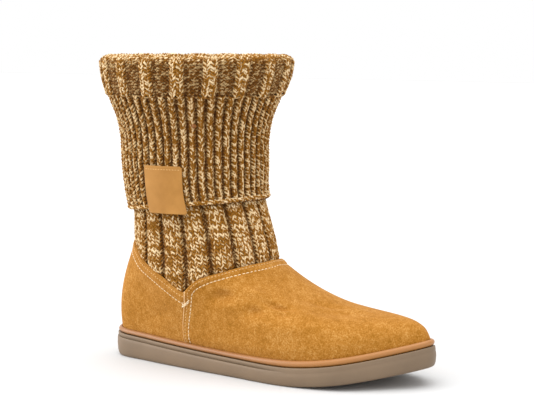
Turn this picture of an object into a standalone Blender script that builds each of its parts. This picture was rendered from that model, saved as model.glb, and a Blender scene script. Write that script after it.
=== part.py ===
"""Pull-on ankle boot, right foot: a suede foot in a rubber cupsole, and a knitted shaft with a folded cuff.

Metres, +X towards the toe, +Y towards the inner side of the foot, +Z up.
The origin lies on the floor under the middle of the heel seat.
"""

import bmesh
import bpy
import numpy as np

# Sole
SOLE_LENGTH = 0.268
BALL_WIDTH = 0.098
HEEL_SEAT = 0.036
HEEL_SIDEWALL = 0.0184
BALL_SIDEWALL = 0.0136
TOE_SIDEWALL = 0.0150
TOE_SPRING = 0.0144
HEEL_BEVEL = 0.0035
EDGE_ROUND = 0.0018
STEP_HEIGHT = 0.0026
STEP_INSET = 0.0007
CUP_DEPTH = 0.0050
TREAD_DEPTH = 0.0022
TREAD_GROOVE = 0.0045
TREAD_PITCH = 0.0160
TREAD_MARGIN = 0.0120
TREAD_SPANS = ((0.05, 0.30), (0.44, 0.90))

# Foxing strip round the foot of the upper
HEEL_FOXING = 0.0038
TOE_FOXING = 0.0049
FOXING_THICKNESS = 0.0022
FOXING_INSET = 0.0014

# Suede upper and insole
SUEDE = 0.0022
BAND_WIDTH = 0.0068
BAND_STEP = 0.0006
LAP_STEP = 0.0008
LAP_EDGE = 0.0010
TOPLINE_FRONT = 0.0808
TOPLINE_SIDE = 0.0586
TOPLINE_BACK = 0.0940
INSOLE = 0.0035

# Leg of the boot
BOOT_HEIGHT = 0.2330
ANKLE_LENGTH = 0.1180
ANKLE_WIDTH = 0.0944
ANKLE_CENTRE = 0.0400

# Knitted tube, its fold and its cuff
KNIT = 0.0030
KNIT_LAP = 0.0070
LAP_KNIT = 0.0022
LAP_SLACK = 0.0008
CUFF_AIR = 0.0006
ROLL_GROWTH = 0.0052
HEM_HEIGHT = 0.1215
HEM_TILT = 0.0060
TOP_BAND = 0.0300
PANELS = 18
GROOVE_ANGLE = -3.0
BAND_RIB_ANGLE = 9.0
FINE_RIB_ANGLE = 8.2
GROOVE_DEPTH = 0.0026
RIB_RISE = 0.0018
FINE_RIB = 0.0008

# Leather label
LABEL_WIDTH = 0.0320
LABEL_HEIGHT = 0.0350
LABEL_THICKNESS = 0.0014
LABEL_TOP = 0.1520
LABEL_ANGLE = 83.0
LABEL_FLARE = 0.0012

# Fit between neighbours
GAP = 0.0003

# Sections round the foot, from the toe by the outer side to the heel and back by the inner side.
# along and across place the sidewall's outline, as shares of the sole's length and of half the ball width.
# leg_angle is where the section meets the ankle, in degrees from the front.
# The rest steer the suede's rise from the sole to the topline: wall_out is a share of half the ball width,
# and the others are shares of the way in and of the way up.
FOOT_COLUMNS = (
    "along", "across", "leg_angle", "wall_out", "wall_up", "mid_in", "mid_up", "top_in", "top_up",
)
FOOT_SECTIONS = {
    "toe":                (1.000, 0.15, 0, -0.28, 0.53, 0.34, 0.05, 0.63, 0.40),
    "outer toe corner":   (0.931, -0.34, 13, -0.16, 0.54, 0.33, 0.20, 0.65, 0.48),
    "little toe":         (0.817, -0.85, 27, -0.02, 0.50, 0.32, 0.40, 0.67, 0.60),
    "outer ball":         (0.660, -1.00, 42, 0.08, 0.40, 0.30, 0.58, 0.72, 0.72),
    "outer waist":        (0.490, -0.90, 57, 0.09, 0.34, 0.32, 0.62, 0.80, 0.82),
    "outer seam":         (0.309, -0.78, 78, 0.09, 0.33, 0.50, 0.58, 0.86, 0.82),
    "outer heel":         (0.170, -0.66, 105, 0.10, 0.34, 0.30, 0.62, 0.78, 0.82),
    "outer heel corner":  (0.045, -0.50, 143, 0.08, 0.36, 0.22, 0.64, 0.72, 0.82),
    "heel":               (0.000, 0.00, 180, 0.06, 0.38, 0.18, 0.64, 0.70, 0.82),
    "inner heel corner":  (0.045, 0.48, 217, 0.08, 0.36, 0.22, 0.64, 0.72, 0.82),
    "inner heel":         (0.170, 0.65, 255, 0.10, 0.34, 0.30, 0.62, 0.78, 0.82),
    "inner seam":         (0.309, 0.655, 282, 0.09, 0.33, 0.50, 0.58, 0.86, 0.82),
    "arch":               (0.500, 0.72, 303, 0.08, 0.38, 0.30, 0.60, 0.78, 0.78),
    "inner ball":         (0.690, 0.93, 318, 0.04, 0.46, 0.30, 0.47, 0.71, 0.63),
    "big toe":            (0.855, 0.88, 333, -0.05, 0.54, 0.32, 0.26, 0.67, 0.50),
    "inner toe corner":   (0.962, 0.57, 347, -0.19, 0.54, 0.33, 0.12, 0.64, 0.42),
}
OUTER_SEAM = list(FOOT_SECTIONS).index("outer seam")
INNER_SEAM = list(FOOT_SECTIONS).index("inner seam")

# The topline's height from the front round to the back, as shares of the way from the side's notch
# up to the front (first rows) or up to the back (last rows).
TOPLINE_COLUMNS = ("angle", "front_share", "back_share")
TOPLINE_SECTIONS = {
    "front":          (0, 1.00, 0.00),
    "instep":         (30, 0.90, 0.00),
    "instep side":    (50, 0.725, 0.00),
    "vamp corner":    (62, 0.58, 0.00),
    "vamp edge":      (70, 0.41, 0.00),
    "notch wall":     (75, 0.20, 0.00),
    "notch":          (79, 0.00, 0.00),
    "counter corner": (85, 0.00, 0.09),
    "quarter":        (91, 0.00, 0.19),
    "quarter rise":   (103, 0.00, 0.36),
    "quarter side":   (122, 0.00, 0.58),
    "quarter top":    (134, 0.00, 0.76),
    "back side":      (155, 0.00, 0.93),
    "back":           (180, 0.00, 1.00),
}

# Sections of the leg's own tube, by height: the outer face of the single knit, as shares of the boot's
# height and of the ankle's half length and half width. centre is a share of the ankle's half length.
LEG_COLUMNS = ("height", "centre", "length", "width")
LEG_SECTIONS = {
    "foot":       (0.20, 0.060, 1.060, 1.06),
    "topline":    (0.34, 0.045, 1.000, 1.00),
    "ankle":      (0.43, 0.000, 0.958, 0.96),
    "hem":        (0.49, -0.040, 0.922, 0.94),
    "cuff":       (0.56, -0.110, 0.908, 0.94),
    "calf":       (0.65, -0.135, 0.928, 0.96),
    "upper calf": (0.73, -0.140, 0.934, 0.97),
    "flare":      (0.80, -0.142, 0.970, 1.02),
    "top band":   (0.86, -0.138, 1.040, 1.10),
    "roll":       (0.93, -0.115, 1.105, 1.17),
    "top":        (1.00, -0.105, 1.125, 1.19),
}

# How far each stitch column stands off the knit, in the order they repeat round the leg.
WALES_PER_PANEL = 6
WIDE_RIB_WIDTHS = (1.16, 1.16, 1.16, 1.16, 0.68, 0.68)
WIDE_RIB = (0.0, 0.25, 0.25, 0.0, -1.0, -1.0)
TOP_BAND_WIDTHS = (0.98, 0.98, 0.98, 0.98, 1.04, 1.04)
TOP_BAND_RIB = (0.0, 0.0, 0.0, 0.0, 1.0, 1.0)

SOLE_STATIONS = 64
SUEDE_ROWS = 9
LINING_ROWS = 7


def column(table, columns, name):
    """One named column of a table of sections."""
    return np.array([row[columns.index(name)] for row in table.values()], float)


def smooth(x, xs, ys):
    """A curve through the points (xs, ys), with a slope at each from its neighbours."""
    x = np.asarray(x, float)
    slopes = np.gradient(ys, xs)
    i = np.clip(np.searchsorted(xs, x) - 1, 0, len(xs) - 2)
    span = xs[i + 1] - xs[i]
    f = np.clip((x - xs[i]) / span, 0, 1)
    rise = f * f * (3 - 2 * f)
    lead = f * (1 - f) ** 2
    tail = f * f * (1 - f)
    return ys[i] * (1 - rise) + ys[i + 1] * rise + span * (slopes[i] * lead - slopes[i + 1] * tail)


def round_foot(station, name):
    """A column of the foot's sections at any station round the foot, as a closed smooth curve."""
    values = column(FOOT_SECTIONS, FOOT_COLUMNS, name)
    count = len(values)
    station = np.asarray(station, float) % count
    i = np.floor(station).astype(int)
    f = station - i
    turn = 360.0 if name == "leg_angle" else 0.0
    p0, p1, p2, p3 = (values[(i + k) % count] + turn * ((i + k) // count) for k in (-1, 0, 1, 2))
    return 0.5 * (2 * p1 + (p2 - p0) * f + (2 * p0 - 5 * p1 + 4 * p2 - p3) * f**2
                  + (3 * p1 - p0 - 3 * p2 + p3) * f**3)


def outline(station, inset=0.0):
    """The sidewall's outline seen from above, moved inwards by inset, and its outward direction."""
    step = 0.02

    def at(s):
        x = round_foot(s, "along") * SOLE_LENGTH - HEEL_SEAT
        y = round_foot(s, "across") * BALL_WIDTH / 2
        return np.stack([x, y], -1)

    run = at(station + step) - at(station - step)
    outward = np.stack([-run[..., 1], run[..., 0]], -1)
    outward /= np.linalg.norm(outward, axis=-1, keepdims=True)
    return at(station) - outward * inset, outward


def tread(x):
    """The height of the sole's underside above the floor: flat, with toe spring and a bevelled heel."""
    along = (x + HEEL_SEAT) / SOLE_LENGTH
    spring = np.clip((along - 0.655) / 0.345, 0, 1)
    bevel = np.clip((0.055 - along) / 0.055, 0, 1)
    return TOE_SPRING * spring**1.7 + HEEL_BEVEL * bevel**1.5


def rim(x):
    """The height of the cup's rim, where the foxing starts."""
    along = (x + HEEL_SEAT) / SOLE_LENGTH
    spring = np.clip((along - 0.655) / 0.345, 0, 1)
    wall = smooth(np.clip(along, 0, 1), np.array([0.0, 0.6, 1.0]),
                  np.array([HEEL_SIDEWALL, BALL_SIDEWALL, TOE_SIDEWALL]))
    return TOE_SPRING * spring**1.7 + wall


def cup_floor(x):
    return rim(x) - CUP_DEPTH


def foxing_height(x):
    """The foxing's height above the rim, which grows from the waist to the ball."""
    along = (x + HEEL_SEAT) / SOLE_LENGTH
    share = np.clip((along - 0.46) / 0.24, 0, 1)
    return HEEL_FOXING + (TOE_FOXING - HEEL_FOXING) * share * share * (3 - 2 * share)


def topline(angle):
    """The height of the suede's top edge at an angle round the ankle, in degrees from the front."""
    side = np.abs((np.asarray(angle, float) + 180) % 360 - 180)
    angles = column(TOPLINE_SECTIONS, TOPLINE_COLUMNS, "angle")
    front = smooth(side, angles, column(TOPLINE_SECTIONS, TOPLINE_COLUMNS, "front_share"))
    back = smooth(side, angles, column(TOPLINE_SECTIONS, TOPLINE_COLUMNS, "back_share"))
    return (TOPLINE_SIDE + np.maximum(front, 0) * (TOPLINE_FRONT - TOPLINE_SIDE)
            + np.maximum(back, 0) * (TOPLINE_BACK - TOPLINE_SIDE))


def leg(angle, height, offset=0.0):
    """A point of the leg's tube, moved outwards by offset. angle is in degrees from the front."""
    share = np.asarray(height, float) / BOOT_HEIGHT
    shares = column(LEG_SECTIONS, LEG_COLUMNS, "height")
    half = ANKLE_LENGTH / 2
    centre = ANKLE_CENTRE + half * smooth(share, shares, column(LEG_SECTIONS, LEG_COLUMNS, "centre"))
    length = half * smooth(share, shares, column(LEG_SECTIONS, LEG_COLUMNS, "length"))
    width = ANKLE_WIDTH / 2 * smooth(share, shares, column(LEG_SECTIONS, LEG_COLUMNS, "width"))
    a = np.radians(angle)
    normal = np.stack([np.cos(a) / length, -np.sin(a) / width], -1)
    normal /= np.linalg.norm(normal, axis=-1, keepdims=True)
    x = centre + length * np.cos(a) + offset * normal[..., 0]
    y = -width * np.sin(a) + offset * normal[..., 1]
    return np.stack([x, y, np.broadcast_to(height, x.shape)], -1)


def suede(station, rise):
    """The counter's outer face. rise is 0 at the foxing's top edge, 1 at the topline and -1 in the cup."""
    station, rise = np.broadcast_arrays(np.asarray(station, float), np.asarray(rise, float))
    angle = round_foot(station, "leg_angle")
    top = leg(angle, topline(angle))
    plan, outward = outline(station, FOXING_INSET + FOXING_THICKNESS + GAP)
    strip = foxing_height(plan[..., 0])
    edge = rim(plan[..., 0]) + strip
    foot = np.concatenate([plan, edge[..., None]], -1)
    reach = top - foot

    def between(share_in, share_up):
        point = foot + reach * round_foot(station, share_in)[..., None]
        point[..., 2] = foot[..., 2] + reach[..., 2] * round_foot(station, share_up)
        return point

    wall = foot.copy()
    wall[..., :2] += outward * (round_foot(station, "wall_out") * BALL_WIDTH / 2)[..., None]
    wall[..., 2] += reach[..., 2] * round_foot(station, "wall_up")
    middle = between("mid_in", "mid_up")
    upper = between("top_in", "top_up")
    u = np.maximum(rise, 0)[..., None]
    weights = ((1 - u) ** 4, 4 * u * (1 - u) ** 3, 6 * u**2 * (1 - u) ** 2, 4 * u**3 * (1 - u), u**4)
    point = sum(w * p for w, p in zip(weights, (foot, wall, middle, upper, top)))
    point[..., 2] += np.minimum(rise, 0) * (strip + CUP_DEPTH - GAP)
    return point


def suede_normal(station, rise):
    """The outward direction of the suede, from its own slopes."""
    step = 0.01
    round_run = suede(station + step, rise) - suede(station - step, rise)
    up_run = suede(station, rise + step) - suede(station, rise - step)
    normal = np.cross(up_run, round_run)
    return normal / np.linalg.norm(normal, axis=-1, keepdims=True)


def suede_face(station, rise, offset):
    """A point standing off the suede by offset, outwards."""
    offset = np.broadcast_to(offset, np.shape(station))
    return suede(station, rise) + suede_normal(station, rise) * offset[:, None]


def suede_length(station):
    """The straight distance from the foxing's top edge to the topline."""
    return np.linalg.norm(suede(station, 1.0) - suede(station, 0.0), axis=-1)


def station_at(angle):
    """The station round the foot whose section meets the ankle at an angle."""
    count = len(FOOT_SECTIONS)
    stations = np.linspace(-1, count + 1, 40 * (count + 2) + 1)
    turn = 360.0 * np.floor(stations / count)
    return np.interp(np.asarray(angle) % 360, round_foot(stations, "leg_angle") + turn, stations)


def vamp_share(station):
    """1 on the vamp, 0 on the counter, which the vamp laps over at both side seams."""
    return ((station <= OUTER_SEAM) | (station >= INNER_SEAM)).astype(float)


def ring_mesh(name, rings, closed=True):
    """A solid from rings of points, each joined to the next. Closed, the last ring joins the first."""
    rings = np.asarray(rings)
    count, around = rings.shape[:2]
    mesh = bmesh.new()
    verts = [[mesh.verts.new(p) for p in ring] for ring in rings]
    for i in range(count if closed else count - 1):
        lower, upper = verts[i], verts[(i + 1) % count]
        for k in range(around):
            n = (k + 1) % around
            mesh.faces.new((lower[k], lower[n], upper[n], upper[k]))
    if not closed:
        for ring in (verts[0], verts[-1]):
            cap_ring(mesh, ring)
    bmesh.ops.recalc_face_normals(mesh, faces=mesh.faces)
    data = bpy.data.meshes.new(name)
    mesh.to_mesh(data)
    mesh.free()
    return data


def cap_ring(mesh, ring):
    """Closes a ring with strips across it, from its first point to the one opposite."""
    count = len(ring)
    half = count // 2
    for k in range(half):
        a, b = ring[k], ring[k + 1]
        c, d = ring[(count - k - 1) % count], ring[(count - k) % count]
        corners = [v for i, v in enumerate((a, b, c, d)) if v not in (a, b, c, d)[:i]]
        mesh.faces.new(corners)


def add_object(name, data, colour, roughness, smooth_angle=40):
    data.polygons.foreach_set("use_smooth", [True] * len(data.polygons))
    data.set_sharp_from_angle(angle=np.radians(smooth_angle))
    thing = bpy.data.objects.new(name, data)
    bpy.context.scene.collection.objects.link(thing)
    finish = bpy.data.materials.new(name)
    finish.use_nodes = True
    shader = finish.node_tree.nodes["Principled BSDF"]
    shader.inputs["Base Color"].default_value = (*colour, 1)
    shader.inputs["Roughness"].default_value = roughness
    shader.inputs["Metallic"].default_value = 0.0
    data.materials.append(finish)
    return thing


def sole_stations():
    return np.arange(SOLE_STATIONS) * len(FOOT_SECTIONS) / SOLE_STATIONS


def level_ring(inset, height_of):
    """A ring along the sole's outline, with its height worked out from how far along it lies."""
    plan, _ = outline(sole_stations(), inset)
    return np.concatenate([plan, height_of(plan[:, 0])[:, None]], -1)


def make_outsole():
    step_foot = STEP_HEIGHT + STEP_INSET
    rings = [
        level_ring(TREAD_MARGIN, tread),
        level_ring(EDGE_ROUND, tread),
        level_ring(EDGE_ROUND * 0.3, lambda x: tread(x) + EDGE_ROUND * 0.3),
        level_ring(0, lambda x: tread(x) + EDGE_ROUND),
        level_ring(0, lambda x: rim(x) - step_foot),
        level_ring(STEP_INSET, lambda x: rim(x) - STEP_HEIGHT),
        level_ring(STEP_INSET, rim),
        level_ring(FOXING_INSET + FOXING_THICKNESS, rim),
        level_ring(FOXING_INSET + FOXING_THICKNESS, cup_floor),
    ]
    outsole = add_object("outsole", ring_mesh("outsole", rings, closed=False), (0.24, 0.17, 0.12), 0.6, 30)
    cut_tread(outsole)
    return outsole


def cut_tread(outsole):
    """Cross grooves in the forefoot and heel, kept inside the edge of the sole."""
    plan, _ = outline(np.linspace(0, len(FOOT_SECTIONS), 400), TREAD_MARGIN)
    grooves = bmesh.new()
    lug_edges = (np.arange(-20, 40) + 0.5) * TREAD_PITCH
    for start, end in TREAD_SPANS:
        low = start * SOLE_LENGTH - HEEL_SEAT
        high = end * SOLE_LENGTH - HEEL_SEAT
        for x in lug_edges[(lug_edges > low) & (lug_edges < high)]:
            near = plan[np.abs(plan[:, 0] - x) < TREAD_GROOVE]
            right, left = near[near[:, 1] < 0], near[near[:, 1] > 0]
            if not len(right) or not len(left):
                continue
            y0, y1 = right[:, 1].max(), left[:, 1].min()
            lift = tread(x)
            box = bmesh.ops.create_cube(grooves, size=1.0)["verts"]
            bmesh.ops.scale(grooves, vec=(TREAD_GROOVE, y1 - y0, 2 * TREAD_DEPTH), verts=box)
            bmesh.ops.translate(grooves, vec=(x, (y0 + y1) / 2, lift), verts=box)
    data = bpy.data.meshes.new("tread cutter")
    grooves.to_mesh(data)
    grooves.free()
    cutter = bpy.data.objects.new("tread_cutter", data)
    bpy.context.scene.collection.objects.link(cutter)
    cutter.hide_render = True
    cutter.display_type = "WIRE"
    cut = outsole.modifiers.new("tread", "BOOLEAN")
    cut.operation = "DIFFERENCE"
    cut.solver = "EXACT"
    cut.object = cutter


def make_foxing():
    face, back = FOXING_INSET, FOXING_INSET + FOXING_THICKNESS
    bulge = FOXING_INSET * 0.35
    rings = [
        level_ring(back, lambda x: rim(x) + GAP),
        level_ring(face, lambda x: rim(x) + GAP),
        level_ring(face - bulge, lambda x: rim(x) + foxing_height(x) * 0.4),
        level_ring(face, lambda x: rim(x) + foxing_height(x) * 0.85),
        level_ring(face + FOXING_THICKNESS * 0.45, lambda x: rim(x) + foxing_height(x)),
        level_ring(back, lambda x: rim(x) + foxing_height(x) * 0.92),
    ]
    return rings


def suede_stations():
    """The sole's stations, and one close beside each side seam where the lap's edge drops to the counter."""
    edge = LAP_EDGE / (2 * SOLE_LENGTH / len(FOOT_SECTIONS))
    return np.sort(np.append(sole_stations(), [OUTER_SEAM + edge, INNER_SEAM - edge]))


def make_upper():
    stations = suede_stations()
    length = suede_length(stations)
    band = 1 - BAND_WIDTH / length
    band_edge = 1 - (BAND_WIDTH - 2 * BAND_STEP) / length
    lap = LAP_STEP * vamp_share(stations)
    rings = [suede_face(stations, -1.0, 0.0), suede_face(stations, 0.0, 0.0)]
    for share in np.linspace(0, 1, SUEDE_ROWS)[1:]:
        rings.append(suede_face(stations, share * band, lap))
    rings.append(suede_face(stations, band_edge, lap + BAND_STEP))
    rings.append(suede_face(stations, 1.0, lap + BAND_STEP))
    rings.append(suede_face(stations, 1.0, -SUEDE))
    for share in np.linspace(1, 0, LINING_ROWS)[1:]:
        rings.append(suede_face(stations, share, -SUEDE))
    rings.append(suede_face(stations, -1.0, -SUEDE))
    return ring_mesh("upper", rings)


def make_insole():
    inset = FOXING_INSET + FOXING_THICKNESS + GAP + SUEDE + GAP
    rings = [
        level_ring(inset + INSOLE * 0.3, lambda x: cup_floor(x) + GAP),
        level_ring(inset, lambda x: cup_floor(x) + GAP + INSOLE * 0.3),
        level_ring(inset, lambda x: cup_floor(x) + GAP + INSOLE),
    ]
    return ring_mesh("insole", rings, closed=False)


def wale_angles(widths, last_pair_angle):
    """The angle of each stitch column round the leg, in degrees from the front, from the columns' widths.

    last_pair_angle is where the middle of one panel's last two columns lies.
    """
    widths = np.array(widths) / sum(widths)
    middle = np.cumsum(widths) - widths / 2
    panel = 360.0 / PANELS
    first = last_pair_angle - panel * (middle[-1] + middle[-2]) / 2
    return np.concatenate([first + (k + middle) * panel for k in range(PANELS)])


def cuff_lift(height):
    """How far the cuff's outer face stands off the tube's: two walls, the air between, and the fat roll."""
    start = BOOT_HEIGHT - 2.2 * TOP_BAND
    share = np.clip((height - start) / (BOOT_HEIGHT - start), 0, 1)
    return KNIT + CUFF_AIR + FINE_RIB + ROLL_GROWTH * share * share * (3 - 2 * share)


def make_knit():
    """One knitted tube: from inside the suede up to the fold, over it, and down again to the cuff's hem."""
    wide = wale_angles(WIDE_RIB_WIDTHS, GROOVE_ANGLE)
    banded = wale_angles(TOP_BAND_WIDTHS, BAND_RIB_ANGLE)
    even = wale_angles((1,) * WALES_PER_PANEL, FINE_RIB_ANGLE)
    groove = np.tile(WIDE_RIB, PANELS) * GROOVE_DEPTH
    ribs = np.tile(TOP_BAND_RIB, PANELS) * RIB_RISE
    fine = np.tile((1, -1), PANELS * WALES_PER_PANEL // 2) * FINE_RIB
    edge = topline(wide)
    fold_lift = cuff_lift(BOOT_HEIGHT)
    roll = (fold_lift + KNIT) / 2
    fold = BOOT_HEIGHT - roll
    band_foot = BOOT_HEIGHT - TOP_BAND
    lean = np.cos(np.radians(even))
    hem = HEM_HEIGHT + HEM_TILT * lean
    rings = []

    # Inner face, from the lap under the suede up to the fold.
    stations = station_at(wide)
    lapped = 1 - KNIT_LAP / suede_length(stations)
    lap_face = -(SUEDE + LAP_SLACK)
    rings.append(suede_face(stations, lapped, lap_face - LAP_KNIT))
    rings.append(suede_face(stations, 1.0, lap_face - LAP_KNIT))
    for share in (0.35, 1.0):
        height = edge + (HEM_HEIGHT - edge) * share
        rings.append(leg(wide, height, -KNIT + np.minimum(groove, 0) * 0.3))
    for height in np.linspace(HEM_HEIGHT, fold, 4)[1:]:
        rings.append(leg(even, height, -KNIT))

    # Over the fold and down the band of raised ribs.
    for turn in (45, 90, 135):
        a = np.radians(turn)
        height = fold + roll * np.sin(a)
        rings.append(leg(banded, height, (fold_lift - KNIT) / 2 - roll * np.cos(a) + ribs * np.sin(a / 2)))
    for height in (fold, (fold + band_foot) / 2, band_foot + RIB_RISE):
        rings.append(leg(banded, height, cuff_lift(height) + ribs))

    # Down the fine ribs to the hem.
    rings.append(leg(even, band_foot - RIB_RISE, cuff_lift(band_foot) + fine))
    for share in (0.22, 0.45, 0.72, 0.97):
        height = band_foot + (hem - band_foot) * share
        rings.append(leg(even, height, cuff_lift(height) + fine))
    rings.append(leg(even, hem, cuff_lift(hem) - KNIT / 3))
    rings.append(leg(even, hem, cuff_lift(hem) - KNIT * 0.8))

    # Up between the two walls, over the small bend inside the roll, and down the tube's outer face.
    for share in (0.55, 1.0):
        height = hem + (fold - hem) * share
        rings.append(leg(even, height, cuff_lift(height) - KNIT))
    inner_bend = roll - KNIT
    rings.append(leg(even, fold + inner_bend, (fold_lift - KNIT) / 2))
    for share in (1.0, 0.55):
        height = hem + (fold - hem) * share
        rings.append(leg(even, height, 0.0))
    under_hem = HEM_HEIGHT + 1.3 * HEM_TILT
    for share in (0.0, 0.3, 0.6, 0.88):
        height = under_hem + (edge - under_hem) * share
        rings.append(leg(wide, height, groove * (1 - 0.4 * share)))
    rings.append(suede_face(stations, 1.0, lap_face))
    rings.append(suede_face(stations, lapped, lap_face))
    return ring_mesh("knit_shaft", rings)


def make_label():
    """A square of leather sewn to the cuff by its top edge, its foot standing a little off."""
    columns, rows = 7, 5
    half = LABEL_WIDTH / 2
    radius = ANKLE_LENGTH / 2
    angles = LABEL_ANGLE + np.degrees(np.linspace(half, -half, columns) / radius)
    sheets = []
    for depth in (0.0, LABEL_THICKNESS):
        sheet = []
        for share in np.linspace(0, 1, rows):
            height = LABEL_TOP - LABEL_HEIGHT * share
            proud = cuff_lift(height) + FINE_RIB + GAP + LABEL_FLARE * share * share
            sheet.append(leg(angles, height, proud + depth))
        sheets.append(np.array(sheet))
    inner, outer = sheets
    mesh = bmesh.new()
    grids = [[[mesh.verts.new(p) for p in row] for row in sheet] for sheet in (inner, outer)]
    for grid in grids:
        for r in range(rows - 1):
            for c in range(columns - 1):
                mesh.faces.new((grid[r][c], grid[r][c + 1], grid[r + 1][c + 1], grid[r + 1][c]))
    loop = ([(0, c) for c in range(columns)] + [(r, columns - 1) for r in range(1, rows)]
            + [(rows - 1, c) for c in range(columns - 2, -1, -1)] + [(r, 0) for r in range(rows - 2, 0, -1)])
    for (r0, c0), (r1, c1) in zip(loop, loop[1:] + loop[:1]):
        mesh.faces.new((grids[0][r0][c0], grids[0][r1][c1], grids[1][r1][c1], grids[1][r0][c0]))
    bmesh.ops.recalc_face_normals(mesh, faces=mesh.faces)
    data = bpy.data.meshes.new("label")
    mesh.to_mesh(data)
    mesh.free()
    return data


def main():
    for old in list(bpy.data.objects):
        bpy.data.objects.remove(old)
    make_outsole()
    add_object("foxing", ring_mesh("foxing", make_foxing()), (0.42, 0.22, 0.12), 0.5)
    add_object("insole", make_insole(), (0.45, 0.33, 0.20), 0.9, 30)
    add_object("upper", make_upper(), (0.52, 0.27, 0.07), 0.95)
    add_object("knit_shaft", make_knit(), (0.36, 0.21, 0.10), 0.95, 60)
    add_object("label", make_label(), (0.60, 0.31, 0.10), 0.7)


main()
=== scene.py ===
"""Dresses the pull-on ankle boot: suede foot, rubber cupsole, leather label, and a shaft of knitted stitches.

Metres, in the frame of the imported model: +X towards the toe, +Y towards the inner side, +Z up.
"""

import math

import bmesh
import bpy
import numpy as np
from bpy.props import FloatProperty, FloatVectorProperty, IntProperty, PointerProperty
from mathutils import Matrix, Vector


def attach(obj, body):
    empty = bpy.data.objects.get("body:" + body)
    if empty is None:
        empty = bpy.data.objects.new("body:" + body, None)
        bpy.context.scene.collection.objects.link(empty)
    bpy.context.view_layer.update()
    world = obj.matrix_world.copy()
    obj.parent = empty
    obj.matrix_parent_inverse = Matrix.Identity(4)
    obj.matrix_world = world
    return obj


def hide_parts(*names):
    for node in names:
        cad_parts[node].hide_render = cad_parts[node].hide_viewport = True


bl_info = {
    "name": "Knitted Ankle Boot",
    "version": (1, 0, 0),
    "blender": (4, 5, 0),
    "location": "View3D > Sidebar > Boot",
    "description": "Builds the finish of a suede ankle boot with a knitted, folded shaft",
    "category": "Add Mesh",
}

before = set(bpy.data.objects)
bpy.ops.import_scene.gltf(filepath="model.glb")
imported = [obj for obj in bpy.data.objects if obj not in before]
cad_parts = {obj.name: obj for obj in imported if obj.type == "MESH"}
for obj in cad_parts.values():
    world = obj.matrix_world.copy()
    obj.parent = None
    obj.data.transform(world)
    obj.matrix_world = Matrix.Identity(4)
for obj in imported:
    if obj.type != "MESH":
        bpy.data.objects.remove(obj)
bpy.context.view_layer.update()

# Sole
SOLE_LENGTH = 0.268
BALL_WIDTH = 0.098
HEEL_SEAT = 0.036
HEEL_SIDEWALL = 0.0184
BALL_SIDEWALL = 0.0136
TOE_SIDEWALL = 0.0150
TOE_SPRING = 0.0144
HEEL_BEVEL = 0.0035
STEP_HEIGHT = 0.0026
STEP_INSET = 0.0007
STEP_END = 0.62
RIM_INSET = 0.0003
TREAD_DEPTH = 0.0022
TREAD_GROOVE = 0.0045
TREAD_PITCH = 0.0160
TREAD_MARGIN = 0.0120
TREAD_SPANS = ((0.05, 0.30), (0.44, 0.90))
CUP_DEPTH = 0.0050
HEEL_FOXING = 0.0038
TOE_FOXING = 0.0049
FOXING_THICKNESS = 0.0022
FOXING_INSET = 0.0014

# Suede
SUEDE = 0.0022
LAP_STEP = 0.0013
LAP_EDGE = 0.0009
# The groove under the edge band, the band's own roundness, and the grooves that the side seams' thread pulls
VALLEY_DEPTH, VALLEY_WIDTH = 0.00035, 0.0009
BAND_SWELL = 0.00055
GUTTER_DEPTH, GUTTER_WIDTH, FINE_GUTTER_WIDTH = 0.0003, 0.0009, 0.0006
TOPLINE_FRONT = 0.0808
TOPLINE_SIDE = 0.0586
TOPLINE_BACK = 0.0940

# The edge band's width down from the topline at sections round the foot, wider where the topline slopes.
VAMP_BAND = ((0, 0.0044), (1.5, 0.0048), (2.9, 0.0054), (3.5, 0.0060), (4.07, 0.0069), (4.4, 0.0074),
             (4.7, 0.0080), (5.0, 0.0088))
COUNTER_BAND = ((5.0, 0.0107), (5.4, 0.0118), (6.3, 0.0116), (6.8, 0.0119), (7.4, 0.0098), (8.0, 0.0084))

# Distances from a side seam's cut edge: the rows of thread, and the columns of faces beside it
SEAM_FINE = 0.0022
SEAM_MAIN = 0.0054
# Columns of faces behind the seams and ahead of them
BACK_COLUMNS, FRONT_COLUMNS = 80, 140
# Each thread of a bar tack: its middle's distance down from the topline, and how far its ends slant
TACK_THREADS = ((0.0126, 0.0009), (0.0135, -0.0010), (0.0143, 0.0005), (0.0131, -0.0003))
TACK_SPAN = (-0.0012, 0.0044)
SEAM_COLUMNS = (-0.0030, -0.0012, -0.0004, 0.0, 0.0002, 0.0005, 0.0009, 0.0014, 0.0018, 0.0022, 0.0027,
                0.0034, 0.0042, 0.0048, 0.0054, 0.0060, 0.0070)

# Leg
BOOT_HEIGHT = 0.2330
ANKLE_LENGTH = 0.1180
ANKLE_WIDTH = 0.0944
ANKLE_CENTRE = 0.0400
KNIT = 0.0030
KNIT_LAP = 0.0070
LAP_KNIT = 0.0022
LAP_SLACK = 0.0008
CUFF_AIR = 0.0006
ROLL_GROWTH = 0.0052
HEM_HEIGHT = 0.1215
HEM_TILT = 0.0060
TOP_BAND = 0.0300
PANELS = 18
GROOVE_ANGLE = -3.0
BAND_RIB_ANGLE = 9.0
FINE_RIB_ANGLE = 8.2
GROOVE_DEPTH = 0.0026
RIB_RISE = 0.0018
FINE_RIB = 0.0008
# The ground behind the loops: its own thickness, and how deep it lies behind their faces
GROUND = 0.0009
GROUND_DEPTH = 0.0032
# How far the ground lies inside the tube's wall below the hem, so that the welts just show
INSIDE_SLACK = 0.0015
INSIDE_KNIT = 0.040
YARN_SQUASH = 0.42

# Label
LABEL_WIDTH = 0.0320
LABEL_HEIGHT = 0.0350
LABEL_THICKNESS = 0.0014
LABEL_TOP = 0.1520
LABEL_ANGLE = 83.0
LABEL_FLARE = 0.0012
LABEL_CROWN = 0.0006
LABEL_SEAM_DOWN = 0.0026
BEAD_RADIUS, BEAD_ANGLE, BEAD_HEIGHT = 0.0019, 58.0, 0.1817
GAP = 0.0003

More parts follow.
